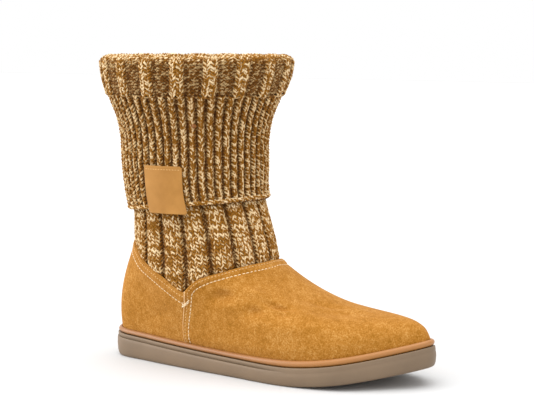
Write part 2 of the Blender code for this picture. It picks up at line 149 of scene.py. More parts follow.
FOOT_COLUMNS = (
    "along", "across", "leg_angle", "wall_out", "wall_up", "mid_in", "mid_up", "top_in", "top_up",
)
FOOT_SECTIONS = {
    "toe":                (1.000, 0.15, 0, -0.28, 0.53, 0.34, 0.05, 0.63, 0.40),
    "outer toe corner":   (0.931, -0.34, 13, -0.16, 0.54, 0.33, 0.20, 0.65, 0.48),
    "little toe":         (0.817, -0.85, 27, -0.02, 0.50, 0.32, 0.40, 0.67, 0.60),
    "outer ball":         (0.660, -1.00, 42, 0.08, 0.40, 0.30, 0.58, 0.72, 0.72),
    "outer waist":        (0.490, -0.90, 57, 0.09, 0.34, 0.32, 0.62, 0.80, 0.82),
    "outer seam":         (0.309, -0.78, 78, 0.09, 0.33, 0.50, 0.58, 0.86, 0.82),
    "outer heel":         (0.170, -0.66, 105, 0.10, 0.34, 0.30, 0.62, 0.78, 0.82),
    "outer heel corner":  (0.045, -0.50, 143, 0.08, 0.36, 0.22, 0.64, 0.72, 0.82),
    "heel":               (0.000, 0.00, 180, 0.06, 0.38, 0.18, 0.64, 0.70, 0.82),
    "inner heel corner":  (0.045, 0.48, 217, 0.08, 0.36, 0.22, 0.64, 0.72, 0.82),
    "inner heel":         (0.170, 0.65, 255, 0.10, 0.34, 0.30, 0.62, 0.78, 0.82),
    "inner seam":         (0.309, 0.655, 282, 0.09, 0.33, 0.50, 0.58, 0.86, 0.82),
    "arch":               (0.500, 0.72, 303, 0.08, 0.38, 0.30, 0.60, 0.78, 0.78),
    "inner ball":         (0.690, 0.93, 318, 0.04, 0.46, 0.30, 0.47, 0.71, 0.63),
    "big toe":            (0.855, 0.88, 333, -0.05, 0.54, 0.32, 0.26, 0.67, 0.50),
    "inner toe corner":   (0.962, 0.57, 347, -0.19, 0.54, 0.33, 0.12, 0.64, 0.42),
}
SECTIONS = len(FOOT_SECTIONS)
# The usual way from one section to the next, as a share of the sole's length
SECTION_RUN = 0.13
OUTER_SEAM = list(FOOT_SECTIONS).index("outer seam")
INNER_SEAM = list(FOOT_SECTIONS).index("inner seam")
TOPLINE_COLUMNS = ("angle", "front_share", "back_share")
TOPLINE_SECTIONS = {
    "front":          (0, 1.00, 0.00),
    "instep":         (30, 0.90, 0.00),
    "instep side":    (50, 0.725, 0.00),
    "vamp corner":    (62, 0.58, 0.00),
    "vamp edge":      (70, 0.41, 0.00),
    "notch wall":     (75, 0.20, 0.00),
    "notch":          (79, 0.00, 0.00),
    "counter corner": (85, 0.00, 0.09),
    "quarter":        (91, 0.00, 0.19),
    "quarter rise":   (103, 0.00, 0.36),
    "quarter side":   (122, 0.00, 0.58),
    "quarter top":    (134, 0.00, 0.76),
    "back side":      (155, 0.00, 0.93),
    "back":           (180, 0.00, 1.00),
}
LEG_COLUMNS = ("height", "centre", "length", "width")
LEG_SECTIONS = {
    "foot":       (0.20, 0.060, 1.060, 1.06),
    "topline":    (0.34, 0.045, 1.000, 1.00),
    "ankle":      (0.43, 0.000, 0.958, 0.96),
    "hem":        (0.49, -0.040, 0.922, 0.94),
    "cuff":       (0.56, -0.110, 0.908, 0.94),
    "calf":       (0.65, -0.135, 0.928, 0.96),
    "upper calf": (0.73, -0.140, 0.934, 0.97),
    "flare":      (0.80, -0.142, 0.970, 1.02),
    "top band":   (0.86, -0.138, 1.040, 1.10),
    "roll":       (0.93, -0.115, 1.105, 1.17),
    "top":        (1.00, -0.105, 1.125, 1.19),
}

# Each stitch column's kind in a panel, 1 for knit and -1 for purl, its width, and how far it stands out.
SHAFT_WALES = {
    "kind": (1, 1, 1, 1, -1, -1),
    "width": (1.29, 1.29, 1.29, 1.29, 0.42, 0.42),
    "relief": (-0.05, 0.15, 0.15, -0.05, -0.85, -0.85),
}
BAND_WALES = {
    "kind": (-1, -1, -1, -1, 1, 1),
    "width": (0.86, 0.86, 0.86, 0.86, 1.28, 1.28),
    "relief": (-0.3, 0.0, 0.0, -0.3, 1.0, 1.0),
}
CUFF_WALES = {
    "kind": (1, -1, 1, -1, 1, -1),
    "width": (1.40, 0.60, 1.40, 0.60, 1.40, 0.60),
    "relief": (1.0, -2.0, 1.0, -2.0, 1.0, -2.0),
}

# How far each leg of a loop leans across its column, as a share of the column's width.
KNIT_LEAN = 0.36
PURL_LEAN = 0.20
# A loop's height, in courses: each reaches into the courses above and below.
LOOP = 1.8

# Soft troughs and swells of the suede. side is the section they lie at, as a share of the way round
# from the toe by the outer side to the heel; up is a share of the way from the foxing to the topline.
# Lengths and depth are in shares of the ball's width, turned in degrees from level.
CREASE_COLUMNS = ("station", "up", "long", "wide", "turn", "depth")
CREASES = {
    "instep trough":         (3.90, 0.66, 0.115, 0.046, -12, 0.038),
    "flex trough, back":     (3.24, 0.48, 0.095, 0.046, -20, 0.038),
    "flex trough, front":    (2.46, 0.58, 0.095, 0.046, 8, 0.038),
    "flex pit":              (2.60, 0.46, 0.050, 0.034, 0, 0.019),
    "flex swell":            (2.75, 0.72, 0.110, 0.070, -10, -0.026),
    "instep swell":          (3.75, 0.52, 0.120, 0.060, -12, -0.016),
    "ball swell":            (2.75, 0.30, 0.200, 0.090, 0, -0.016),
    "vamp top trough":       (0.90, 0.62, 0.160, 0.060, 20, 0.016),
    "toe box dent":          (1.30, 0.50, 0.180, 0.090, 5, 0.013),
    "toe swell":             (0.30, 0.55, 0.180, 0.100, 0, -0.013),
    "instep trough, inner":  (12.6, 0.68, 0.200, 0.070, -10, 0.029),
    "flex trough, inner":    (13.6, 0.52, 0.180, 0.060, 25, 0.022),
    "counter dent, outer":   (6.20, 0.50, 0.160, 0.100, 70, 0.014),
    "counter fold, outer":   (5.70, 0.30, 0.140, 0.060, -30, 0.011),
    "counter dent, inner":   (9.80, 0.55, 0.240, 0.140, -70, 0.014),
}


def column(table, columns, name):
    """One named column of a table of sections."""
    return np.array([row[columns.index(name)] for row in table.values()], float)


def smooth(x, xs, ys):
    """A curve through the points (xs, ys), with a slope at each from its neighbours."""
    x = np.asarray(x, float)
    slopes = np.gradient(ys, xs)
    i = np.clip(np.searchsorted(xs, x) - 1, 0, len(xs) - 2)
    span = xs[i + 1] - xs[i]
    f = np.clip((x - xs[i]) / span, 0, 1)
    rise = f * f * (3 - 2 * f)
    lead = f * (1 - f) ** 2
    tail = f * f * (1 - f)
    return ys[i] * (1 - rise) + ys[i + 1] * rise + span * (slopes[i] * lead - slopes[i + 1] * tail)


def section_curve(table, columns, place, name):
    """One named column of a table as a curve over its first column."""
    return smooth(place, column(table, columns, columns[0]), column(table, columns, name))


def round_foot(station, name):
    """A column of the foot's sections at any station round the foot, as a closed smooth curve."""
    values = column(FOOT_SECTIONS, FOOT_COLUMNS, name)
    station = np.asarray(station, float) % SECTIONS
    i = np.floor(station).astype(int)
    f = station - i
    turn = 360.0 if name == "leg_angle" else 0.0
    p0, p1, p2, p3 = (values[(i + k) % SECTIONS] + turn * ((i + k) // SECTIONS) for k in (-1, 0, 1, 2))
    return 0.5 * (2 * p1 + (p2 - p0) * f + (2 * p0 - 5 * p1 + 4 * p2 - p3) * f**2
                  + (3 * p1 - p0 - 3 * p2 + p3) * f**3)


def outline(station, inset=0.0):
    """The sidewall's outline seen from above, moved inwards by inset, and its outward direction."""
    step = 0.02

    def at(s):
        x = round_foot(s, "along") * SOLE_LENGTH - HEEL_SEAT
        y = round_foot(s, "across") * BALL_WIDTH / 2
        return np.stack([x, y], -1)

    run = at(station + step) - at(station - step)
    outward = np.stack([-run[..., 1], run[..., 0]], -1)
    outward /= np.linalg.norm(outward, axis=-1, keepdims=True)
    return at(station) - outward * inset, outward


def tread(x):
    """The height of the sole's underside above the floor: flat, with toe spring and a bevelled heel."""
    along = (x + HEEL_SEAT) / SOLE_LENGTH
    spring = np.clip((along - 0.655) / 0.345, 0, 1)
    bevel = np.clip((0.055 - along) / 0.055, 0, 1)
    return TOE_SPRING * spring**1.7 + HEEL_BEVEL * bevel**1.5


def rim(x):
    """The height of the cup's rim, where the foxing starts."""
    along = (x + HEEL_SEAT) / SOLE_LENGTH
    spring = np.clip((along - 0.655) / 0.345, 0, 1)
    wall = smooth(np.clip(along, 0, 1), np.array([0.0, 0.6, 1.0]),
                  np.array([HEEL_SIDEWALL, BALL_SIDEWALL, TOE_SIDEWALL]))
    return TOE_SPRING * spring**1.7 + wall


def cup_floor(x):
    """The height of the cup's floor, which the insole lies on."""
    return rim(x) - CUP_DEPTH


def foxing_height(x):
    """The foxing's height above the rim, which grows from the waist to the ball."""
    along = (x + HEEL_SEAT) / SOLE_LENGTH
    share = np.clip((along - 0.46) / 0.24, 0, 1)
    return HEEL_FOXING + (TOE_FOXING - HEEL_FOXING) * share * share * (3 - 2 * share)


def topline(angle):
    """The height of the suede's top edge at an angle round the ankle, in degrees from the front."""
    side = np.abs((np.asarray(angle, float) + 180) % 360 - 180)
    front = section_curve(TOPLINE_SECTIONS, TOPLINE_COLUMNS, side, "front_share")
    back = section_curve(TOPLINE_SECTIONS, TOPLINE_COLUMNS, side, "back_share")
    return (TOPLINE_SIDE + np.maximum(front, 0) * (TOPLINE_FRONT - TOPLINE_SIDE)
            + np.maximum(back, 0) * (TOPLINE_BACK - TOPLINE_SIDE))


def leg(angle, height, offset=0.0):
    """A point of the leg's tube, moved outwards by offset. angle is in degrees from the front."""
    share = np.asarray(height, float) / BOOT_HEIGHT
    centre, length, width = (
        section_curve(LEG_SECTIONS, LEG_COLUMNS, share, name) for name in ("centre", "length", "width"))
    half = ANKLE_LENGTH / 2
    centre = ANKLE_CENTRE + half * centre
    length = half * length
    width = ANKLE_WIDTH / 2 * width
    a = np.radians(angle)
    normal = np.stack([np.cos(a) / length, -np.sin(a) / width], -1)
    normal /= np.linalg.norm(normal, axis=-1, keepdims=True)
    x = centre + length * np.cos(a) + offset * normal[..., 0]
    y = -width * np.sin(a) + offset * normal[..., 1]
    return np.stack([x, y, np.broadcast_to(height, x.shape)], -1)


def suede(station, rise):
    """The suede's outer face without its lap and creases.

    rise is 0 at the foxing's top edge, 1 at the topline and -1 in the cup.
    """
    station, rise = np.broadcast_arrays(np.asarray(station, float), np.asarray(rise, float))
    angle = round_foot(station, "leg_angle")
    top = leg(angle, topline(angle))
    plan, outward = outline(station, FOXING_INSET + FOXING_THICKNESS + GAP)
    strip = foxing_height(plan[..., 0])
    edge = rim(plan[..., 0]) + strip
    foot = np.concatenate([plan, edge[..., None]], -1)
    reach = top - foot

    def between(share_in, share_up):
        point = foot + reach * round_foot(station, share_in)[..., None]
        point[..., 2] = foot[..., 2] + reach[..., 2] * round_foot(station, share_up)
        return point

    wall = foot.copy()
    wall[..., :2] += outward * (round_foot(station, "wall_out") * BALL_WIDTH / 2)[..., None]
    wall[..., 2] += reach[..., 2] * round_foot(station, "wall_up")
    middle = between("mid_in", "mid_up")
    upper = between("top_in", "top_up")
    u = np.maximum(rise, 0)[..., None]
    weights = ((1 - u) ** 4, 4 * u * (1 - u) ** 3, 6 * u**2 * (1 - u) ** 2, 4 * u**3 * (1 - u), u**4)
    point = sum(w * p for w, p in zip(weights, (foot, wall, middle, upper, top)))
    point[..., 2] += np.minimum(rise, 0) * (strip + CUP_DEPTH - GAP)
    return point


def suede_normal(station, rise):
    """The outward direction of the suede, from its own slopes."""
    step = 0.01
    round_run = suede(station + step, rise) - suede(station - step, rise)
    up_run = suede(station, rise + step) - suede(station, rise - step)
    normal = np.cross(up_run, round_run)
    return normal / np.linalg.norm(normal, axis=-1, keepdims=True)


def suede_length(station):
    """The straight distance from the foxing's top edge to the topline."""
    return np.linalg.norm(suede(station, 1.0) - suede(station, 0.0), axis=-1)


def station_at(angle):
    """The station round the foot whose section meets the ankle at an angle."""
    stations = np.linspace(-1, SECTIONS + 1, 40 * (SECTIONS + 2) + 1)
    turn = 360.0 * np.floor(stations / SECTIONS)
    return np.interp(np.asarray(angle) % 360, round_foot(stations, "leg_angle") + turn, stations)


def band_width(station, seam):
    """The edge band's width down from the topline, by place. seam is the distance onto the vamp."""
    half = SECTIONS / 2
    folded = half - np.abs(half - np.asarray(station, float) % SECTIONS)
    vamp = smooth(folded, *np.array(VAMP_BAND, float).T)
    counter = smooth(folded, *np.array(COUNTER_BAND, float).T)
    return np.where(seam > 0, vamp, counter)


def cuff_lift(height):
    """How far the cuff's outer face stands off the tube's: two walls, the air between, and the fat roll."""
    start = BOOT_HEIGHT - 2.2 * TOP_BAND
    share = np.clip((height - start) / (BOOT_HEIGHT - start), 0, 1)
    return KNIT + CUFF_AIR + FINE_RIB + ROLL_GROWTH * share * share * (3 - 2 * share)


def seam_run(seam, rise):
    """The distance from one section to the next on the vamp beside a side seam, square to the seam."""
    step = -0.12 if seam == OUTER_SEAM else 0.12
    across = suede(seam + step, rise) - suede(seam, rise)
    up = suede(seam, rise + 0.01) - suede(seam, rise - 0.01)
    up /= np.linalg.norm(up, axis=-1, keepdims=True)
    across -= up * np.sum(across * up, axis=-1, keepdims=True)
    return np.linalg.norm(across, axis=-1) / abs(step)


def seam_distance(station, rise):
    """How far a place lies from the nearer side seam: positive on the vamp, negative on the counter."""
    outer = (OUTER_SEAM - station) * seam_run(OUTER_SEAM, rise)
    inner = (station - INNER_SEAM) * seam_run(INNER_SEAM, rise)
    return np.maximum(outer, inner)


def beside_seam(seam, distance, rise):
    """The station at a distance from a side seam: positive on the vamp, negative on the counter."""
    way = -1 if seam == OUTER_SEAM else 1
    return seam + way * distance / seam_run(seam, rise)


def cuff_fold():
    """The fold's radius, its centre's height, and how far its centre stands off the tube."""
    lift = cuff_lift(BOOT_HEIGHT)
    radius = (lift + KNIT) / 2
    return radius, BOOT_HEIGHT - radius, (lift - KNIT) / 2


def shaft_face(angle, height):
    """The tube's outer face, in angle and height."""
    return leg(angle, height)


def cuff_face(angle, climb):
    """The cuff's outer face. climb is the height up to the fold, then the way over it and down inside."""
    radius, fold, centre = cuff_fold()
    turn = np.clip((climb - fold) / radius, 0, math.pi)
    down = np.maximum(climb - fold - math.pi * radius, 0)
    height = np.minimum(climb, fold) + radius * np.sin(turn) - down
    lift = np.where(turn > 0, centre + radius * np.cos(turn), cuff_lift(height))
    return leg(angle, height, lift)


def face_normal(face, angle, climb):
    """The direction that a face of the knitting looks in."""
    across = face(angle + 0.5, climb) - face(angle - 0.5, climb)
    along = face(angle, climb + 0.0006) - face(angle, climb - 0.0006)
    normal = np.cross(along, across)
    return normal / np.linalg.norm(normal, axis=-1, keepdims=True)


def wale_edges(wales, last_pair_angle):
    """The angle at which each stitch column starts, once round the leg and back to the first."""
    widths = np.array(wales["width"]) / sum(wales["width"])
    middle = np.cumsum(widths) - widths / 2
    panel = 360.0 / PANELS
    first = last_pair_angle - panel * (middle[-1] + middle[-2]) / 2
    starts = np.append(0, np.cumsum(widths)[:-1])
    edges = np.concatenate([first + (k + starts) * panel for k in range(PANELS)])
    return np.append(edges, first + 360.0)


# A Mix node's colour sockets, which share their names with its other sockets
MIX_A, MIX_B, MIX_RESULT = 6, 7, 2


def srgb(code):
    """A linear colour from an sRGB hex value."""
    parts = [int(code[i:i + 2], 16) / 255 for i in (1, 3, 5)]
    return tuple(c / 12.92 if c <= 0.04045 else ((c + 0.055) / 1.055) ** 2.4 for c in parts)


class BootSettings(bpy.types.PropertyGroup):
    """What a user would change on the boot."""

    yarn_thickness: FloatProperty(
        name="Yarn", description="Thickness of the knitting yarn", default=0.0019, unit="LENGTH")
    cuff_pitch: FloatProperty(
        name="Cuff course pitch", description="Height of one row on the cuff", default=0.0024, unit="LENGTH")
    shaft_pitch: FloatProperty(
        name="Shaft course pitch", description="Height of one row below the cuff",
        default=0.0029, unit="LENGTH")
    band_pitch: FloatProperty(
        name="Band course pitch", description="Height of one row in the top band",
        default=0.0025, unit="LENGTH")
    thread_thickness: FloatProperty(
        name="Thread", description="Thickness of the seams' thread", default=0.00075, unit="LENGTH")
    thread_pitch: FloatProperty(
        name="Stitch pitch", description="Distance between the seams' stitches",
        default=0.0031, unit="LENGTH")
    suede_rows: IntProperty(
        name="Suede rows", description="Rows of faces from the sole to the topline", default=64, min=16)
    yarn_dark: FloatVectorProperty(
        name="Dark ply", description="Colour of the yarn's dark ply",
        subtype="COLOR", default=srgb("#A26C1C"))
    yarn_light: FloatVectorProperty(
        name="Light ply", description="Colour of the yarn's light ply",
        subtype="COLOR", default=srgb("#E8CFA6"))
    sole_colour: FloatVectorProperty(
        name="Sole", description="Colour of the sidewall", subtype="COLOR", default=srgb("#78634C"))


def settings():
    """The boot's values in the scene."""
    return bpy.context.scene.boot_settings


def set_inputs(material, node, inputs):
    """Gives each input of a node its value, or its link where an output is given."""
    for name, value in inputs.items():
        if isinstance(value, bpy.types.NodeSocket):
            material.node_tree.links.new(value, node.inputs[name])
        else:
            node.inputs[name].default_value = value


def new_material(name, **values):
    """A material and its shader, with the shader's own values set by name."""
    material = bpy.data.materials.new(name)
    material.use_nodes = True
    shader = material.node_tree.nodes["Principled BSDF"]
    set_inputs(material, shader, {socket.replace("_", " "): value for socket, value in values.items()})
    return material, shader


def add_node(material, kind, inputs=None, stops=(), **properties):
    """Adds one node with its properties, its inputs' values and links, and a colour ramp's stops."""
    node = material.node_tree.nodes.new(kind)
    for name, value in properties.items():
        setattr(node, name, value)
    set_inputs(material, node, inputs or {})
    while stops and len(node.color_ramp.elements) < len(stops):
        node.color_ramp.elements.new(0.5)
    for k, (place, colour) in enumerate(stops):
        node.color_ramp.elements[k].position = place
        node.color_ramp.elements[k].color = (*colour[:3], 1)
    return node


def grained_material(name, size, stops, detail=2.0, bump=None, **values):
    """A material whose colour follows one noise of a size, and its bump too, given as strength and height."""
    material, shader = new_material(name, **values)
    place = add_node(material, "ShaderNodeTexCoord").outputs["Object"]
    grain = add_node(material, "ShaderNodeTexNoise", {"Vector": place, "Scale": 1 / size, "Detail": detail})
    colour = add_node(material, "ShaderNodeValToRGB", {"Fac": grain.outputs["Fac"]}, stops)
    set_inputs(material, shader, {"Base Color": colour.outputs["Color"]})
    if bump:
        strength, height = bump
        raised = add_node(material, "ShaderNodeBump", {
            "Height": grain.outputs["Fac"], "Strength": strength, "Distance": height})
        set_inputs(material, shader, {"Normal": raised.outputs["Normal"]})
    return material


def suede_material():
    """Suede: split leather brushed to a nap, matte, with soft clouds where the nap lies both ways."""
    material, shader = new_material(
        "napped_suede", Roughness=0.95, IOR=1.45, Specular_IOR_Level=0.15,
        Sheen_Weight=0.25, Sheen_Roughness=0.5, Sheen_Tint=(*srgb("#E8B070"), 1))
    place = add_node(material, "ShaderNodeTexCoord").outputs["Object"]
    # Clouds, patches and tufts: a fibre of the nap is about 0.1 mm, and 1 mm tufts are the finest to show.
    clouds, patches, nap = (
        add_node(material, "ShaderNodeTexNoise", {
            "Vector": place, "Scale": 1 / size, "Detail": detail, "Roughness": rough}).outputs["Fac"]
        for size, detail, rough in ((0.030, 3.0, 0.55), (0.0045, 2.0, 0.6), (0.0010, 2.0, 0.7)))
    mixed = clouds
    for finer in (patches, nap):
        blend = add_node(material, "ShaderNodeMix", {"Factor": 0.55, "A": mixed, "B": finer})
        mixed = blend.outputs["Result"]
    colour = add_node(material, "ShaderNodeValToRGB", {"Fac": mixed}, [
        (0.38, srgb("#8A5A14")), (0.47, srgb("#9E6822")), (0.53, srgb("#AA7430")), (0.62, srgb("#BC8A48"))])
    bump = add_node(material, "ShaderNodeBump", {"Height": nap, "Strength": 0.55, "Distance": 0.0005})
    soft = add_node(material, "ShaderNodeBump", {
        "Height": patches, "Normal": bump.outputs["Normal"], "Strength": 0.30, "Distance": 0.0016})
    set_inputs(material, shader, {"Base Color": colour.outputs["Color"], "Normal": soft.outputs["Normal"]})
    return material


def felt_material(name, light, dark):
    """Felt, brushed lining or a raw suede edge: matted fibres, soft and matte."""
    stops = [(0.35, srgb(dark)), (0.65, srgb(light))]
    return grained_material(name, 0.0012, stops, 4.0, (0.5, 0.0006), Roughness=0.95)


def yarn_material(name, band_length, band_height, band_weight, slub_weight, paler, shade_depth):
    """Marled wool yarn: a cream ply twisted with a brown one, which lie in uneven bands of the knitting.

    The bands and slubs have weights in the shade. Deep yarn is darkened by painted shade, darkest at
    shade_depth.
    """
    dark, light = settings().yarn_dark, settings().yarn_light
    middle = tuple(0.65 * a + 0.35 * b for a, b in zip(dark, light))
    shaded = tuple(c * 0.72 for c in dark)
    material, shader = new_material(
        name, Roughness=0.9, Specular_IOR_Level=0.1,
        Sheen_Weight=0.14, Sheen_Roughness=0.6, Sheen_Tint=(*light, 1))
    uv = add_node(material, "ShaderNodeUVMap", uv_map="yarn")
    parts = add_node(material, "ShaderNodeSeparateXYZ", {"Vector": uv.outputs["UV"]})
    along, around = parts.outputs["X"], parts.outputs["Y"]
    place = add_node(material, "ShaderNodeTexCoord").outputs["Object"]
    way = add_node(material, "ShaderNodeCombineXYZ", {"X": along}).outputs["Vector"]
    stretched = add_node(material, "ShaderNodeMapping", {
        "Vector": place, "Scale": (1 / band_length, 1 / band_length, 1 / band_height)}).outputs["Vector"]
    slack, slubs, bands, fluff = (
        add_node(material, "ShaderNodeTexNoise", {
            "Vector": vector, "Scale": scale, "Detail": detail, "Roughness": rough}).outputs["Fac"]
        for vector, scale, detail, rough in (
            (way, 1 / 0.018, 1.0, 0.5), (way, 1 / 0.0032, 2.0, 0.6), (stretched, 1.0, 1.0, 0.5),
            (place, 1 / 0.0005, 2.0, 0.5)))
    # The two plies turn once round each other every 9 mm, and slip along each other by up to 4 turns.
    turns = around
    for source, weight in ((along, 1 / 0.009), (slack, 4.0)):
        turns = add_node(material, "ShaderNodeMath", {0: source, 1: weight, 2: turns},
                         operation="MULTIPLY_ADD").outputs[0]
    radians = add_node(material, "ShaderNodeMath", {0: turns, 1: 2 * math.pi}, operation="MULTIPLY")
    wave = add_node(material, "ShaderNodeMath", {0: radians.outputs[0]}, operation="SINE").outputs[0]
    # A noise is 0.5 on average, so half of each weight comes off.
    shade = 0.5 + paler - (slub_weight + band_weight) / 2
    for source, weight in ((wave, 0.32), (slubs, slub_weight), (bands, band_weight)):
        shade = add_node(material, "ShaderNodeMath", {0: source, 1: weight, 2: shade},
                         operation="MULTIPLY_ADD").outputs[0]
    plies = add_node(material, "ShaderNodeValToRGB", {"Fac": shade}, [
        (0.30, shaded), (0.50, dark), (0.60, middle), (0.68, light)])
    # Painted shade: yarn that lies deep is darkened, standing in for the shade of the fluff round it.
    depth = add_node(material, "ShaderNodeAttribute", attribute_name="depth").outputs["Fac"]
    sunk = add_node(material, "ShaderNodeMapRange", {
        "Value": depth, "From Min": 0.0002, "From Max": shade_depth})
    painted_depth_shade = add_node(material, "ShaderNodeValToRGB", {"Fac": sunk.outputs["Result"]}, [
        (0.0, (1.0, 1.0, 1.0)), (0.35, (0.74, 0.66, 0.52)), (1.0, (0.20, 0.12, 0.04))])
    colour = add_node(material, "ShaderNodeMix", data_type="RGBA", blend_type="MULTIPLY", inputs={
        "Factor": 1.0, MIX_A: plies.outputs["Color"], MIX_B: painted_depth_shade.outputs["Color"]})
    # The ply's own roundness, and its fluff
    ply = add_node(material, "ShaderNodeMath", {0: wave}, operation="ABSOLUTE").outputs[0]
    bump = add_node(material, "ShaderNodeBump", {"Height": ply, "Strength": 0.7, "Distance": 0.0004})
    fuzz = add_node(material, "ShaderNodeBump", {
        "Height": fluff, "Normal": bump.outputs["Normal"], "Strength": 0.4, "Distance": 0.0002})
    set_inputs(material, shader, {
        "Base Color": colour.outputs[MIX_RESULT], "Normal": fuzz.outputs["Normal"]})
    return material


def painted_shade_ground_material():
    """The knitting's ground behind its loops: a sheet in painted shade, coloured as the same yarn in shade.
    """
    # Painted shade: the yarn's brown darkened to its look in shade.
    stops = [(0.35, srgb("#2E1A04")), (0.65, srgb("#54340C"))]
    return grained_material("knit_ground", 0.0016, stops, 2.0, (0.8, 0.0010),
                            Roughness=0.95, Specular_IOR_Level=0.0)


def sole_material():
    """Foamed rubber, moulded matte: even colour, with soft clouds and a faint grain."""
    base = settings().sole_colour
    material, shader = new_material("moulded_rubber", Roughness=0.52, IOR=1.5)
    place = add_node(material, "ShaderNodeTexCoord").outputs["Object"]
    cloud = add_node(material, "ShaderNodeTexNoise", {"Vector": place, "Scale": 1 / 0.03, "Detail": 3.0})
    colour = add_node(material, "ShaderNodeValToRGB", {"Fac": cloud.outputs["Fac"]}, [
        (0.3, tuple(0.90 * c for c in base)), (0.7, tuple(1.08 * c for c in base))])
    grain = add_node(material, "ShaderNodeTexNoise", {"Vector": place, "Scale": 1 / 0.0006, "Detail": 2.0})
    bump = add_node(material, "ShaderNodeBump", {
        "Height": grain.outputs["Fac"], "Strength": 0.12, "Distance": 0.0002})
    set_inputs(material, shader, {"Base Color": colour.outputs["Color"], "Normal": bump.outputs["Normal"]})
    return material


def foxing_material():
    """Rubber strip, smooth and satin: pinker at the heel and more orange towards the toe."""
    material, shader = new_material("foxing_rubber", Roughness=0.42, IOR=1.5)
    place = add_node(material, "ShaderNodeTexCoord").outputs["Object"]
    parts = add_node(material, "ShaderNodeSeparateXYZ", {"Vector": place})
    along = add_node(material, "ShaderNodeMapRange", {
        "Value": parts.outputs["X"], "From Min": -HEEL_SEAT, "From Max": SOLE_LENGTH - HEEL_SEAT})
    colour = add_node(material, "ShaderNodeValToRGB", {"Fac": along.outputs["Result"]}, [
        (0.0, srgb("#98683C")), (0.45, srgb("#96653A")), (0.8, srgb("#A26C34"))])
    set_inputs(material, shader, {"Base Color": colour.outputs["Color"]})
    return material


def leather_material():
    """Smooth vegetable-tanned leather: fine pores, a soft shine, and clouds of tan."""
    material, shader = new_material("tan_leather", Roughness=0.6, Specular_IOR_Level=0.35)
    place = add_node(material, "ShaderNodeTexCoord").outputs["Object"]
    cloud = add_node(material, "ShaderNodeTexNoise", {"Vector": place, "Scale": 1 / 0.012, "Detail": 4.0})
    pores = add_node(material, "ShaderNodeTexVoronoi", {"Vector": place, "Scale": 1 / 0.0009})
    colour = add_node(material, "ShaderNodeValToRGB", {"Fac": cloud.outputs["Fac"]}, [
        (0.3, srgb("#9E6C2A")), (0.7, srgb("#B07C38"))])
    bump = add_node(material, "ShaderNodeBump", {
        "Height": pores.outputs["Distance"], "Strength": 0.18, "Distance": 0.0002})
    set_inputs(material, shader, {"Base Color": colour.outputs["Color"], "Normal": bump.outputs["Normal"]})
    return material


def thread_material(name, code):
    """Polyester sewing thread: two plies twisted tight, with a faint silky shine."""
    base = srgb(code)
    stops = [(0.35, tuple(0.8 * c for c in base)), (0.6, base)]
    return grained_material(name, 0.0006, stops, Roughness=0.6, Sheen_Weight=0.2)


def resin_material():
    """A small bead of cast brown resin, glossy."""
    stops = [(0.3, srgb("#6E3E04")), (0.7, srgb("#965A0C"))]
    return grained_material("brown_resin", 0.002, stops, Roughness=0.35)


def mesh_object(name, verts, faces, materials, uv=None, depth=None):
    """A shaded mesh object at the origin, with its place in its mesh."""
    mesh = bpy.data.meshes.new(name)
    verts = np.asarray(verts, np.float32)
    faces = np.asarray(faces, np.int32)
    mesh.vertices.add(len(verts))
    mesh.vertices.foreach_set("co", verts.ravel())
    mesh.loops.add(faces.size)
    mesh.loops.foreach_set("vertex_index", faces.ravel())
    mesh.polygons.add(len(faces))
    mesh.polygons.foreach_set("loop_start", np.arange(0, faces.size, faces.shape[1], dtype=np.int32))
    mesh.update(calc_edges=True)
    mesh.polygons.foreach_set("use_smooth", np.ones(len(faces), bool))
    if uv is not None:
        layer = mesh.uv_layers.new(name="yarn")
        layer.data.foreach_set("uv", np.asarray(uv, np.float32).ravel())
    if depth is not None:
        layer = mesh.attributes.new("depth", "FLOAT", "POINT")
        layer.data.foreach_set("value", np.asarray(depth, np.float32).ravel())
    for material in materials:
        mesh.materials.append(material)
    mesh.validate()
    thing = bpy.data.objects.new(name, mesh)
    bpy.context.scene.collection.objects.link(thing)
    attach(thing, "root")
    return thing


def mend_mesh(thing, sides=0, turn_out=True):
    """Closes tubes' open ends that have so many sides, and turns the faces outwards."""
    edit = bmesh.new()
    edit.from_mesh(thing.data)
    if sides:
        bmesh.ops.holes_fill(edit, edges=[e for e in edit.edges if e.is_boundary], sides=sides)
    if turn_out:
        bmesh.ops.recalc_face_normals(edit, faces=edit.faces)
    edit.to_mesh(thing.data)
    edit.free()


def ring_faces(rows, around, closed_rows):
    """Quads between rings of points, with each ring closed. Rings run up, so the faces look outwards."""
    r = np.arange(rows if closed_rows else rows - 1)[:, None]
    k = np.arange(around)[None, :]
    nr, nk = (r + 1) % rows, (k + 1) % around
    return np.stack([r * around + k, nr * around + k, nr * around + nk, r * around + nk], -1).reshape(-1, 4)


def cap_faces(first, around):
    """Strips across a ring of points, from side to side."""
    k = np.arange(around // 2 - 1)
    return first + np.stack([k, k + 1, around - 2 - k, around - 1 - k], -1)


def ring_object(name, rings, materials, closed=True):
    """A solid from rings of points; closed, its last ring joins its first."""
    rings = np.asarray(rings, float)
    rows, around = rings.shape[:2]
    faces = ring_faces(rows, around, closed)
    if not closed:
        faces = np.concatenate([faces, cap_faces(0, around), cap_faces((rows - 1) * around, around)])
    thing = mesh_object(name, rings.reshape(-1, 3), faces, materials)
    mend_mesh(thing)
    return thing


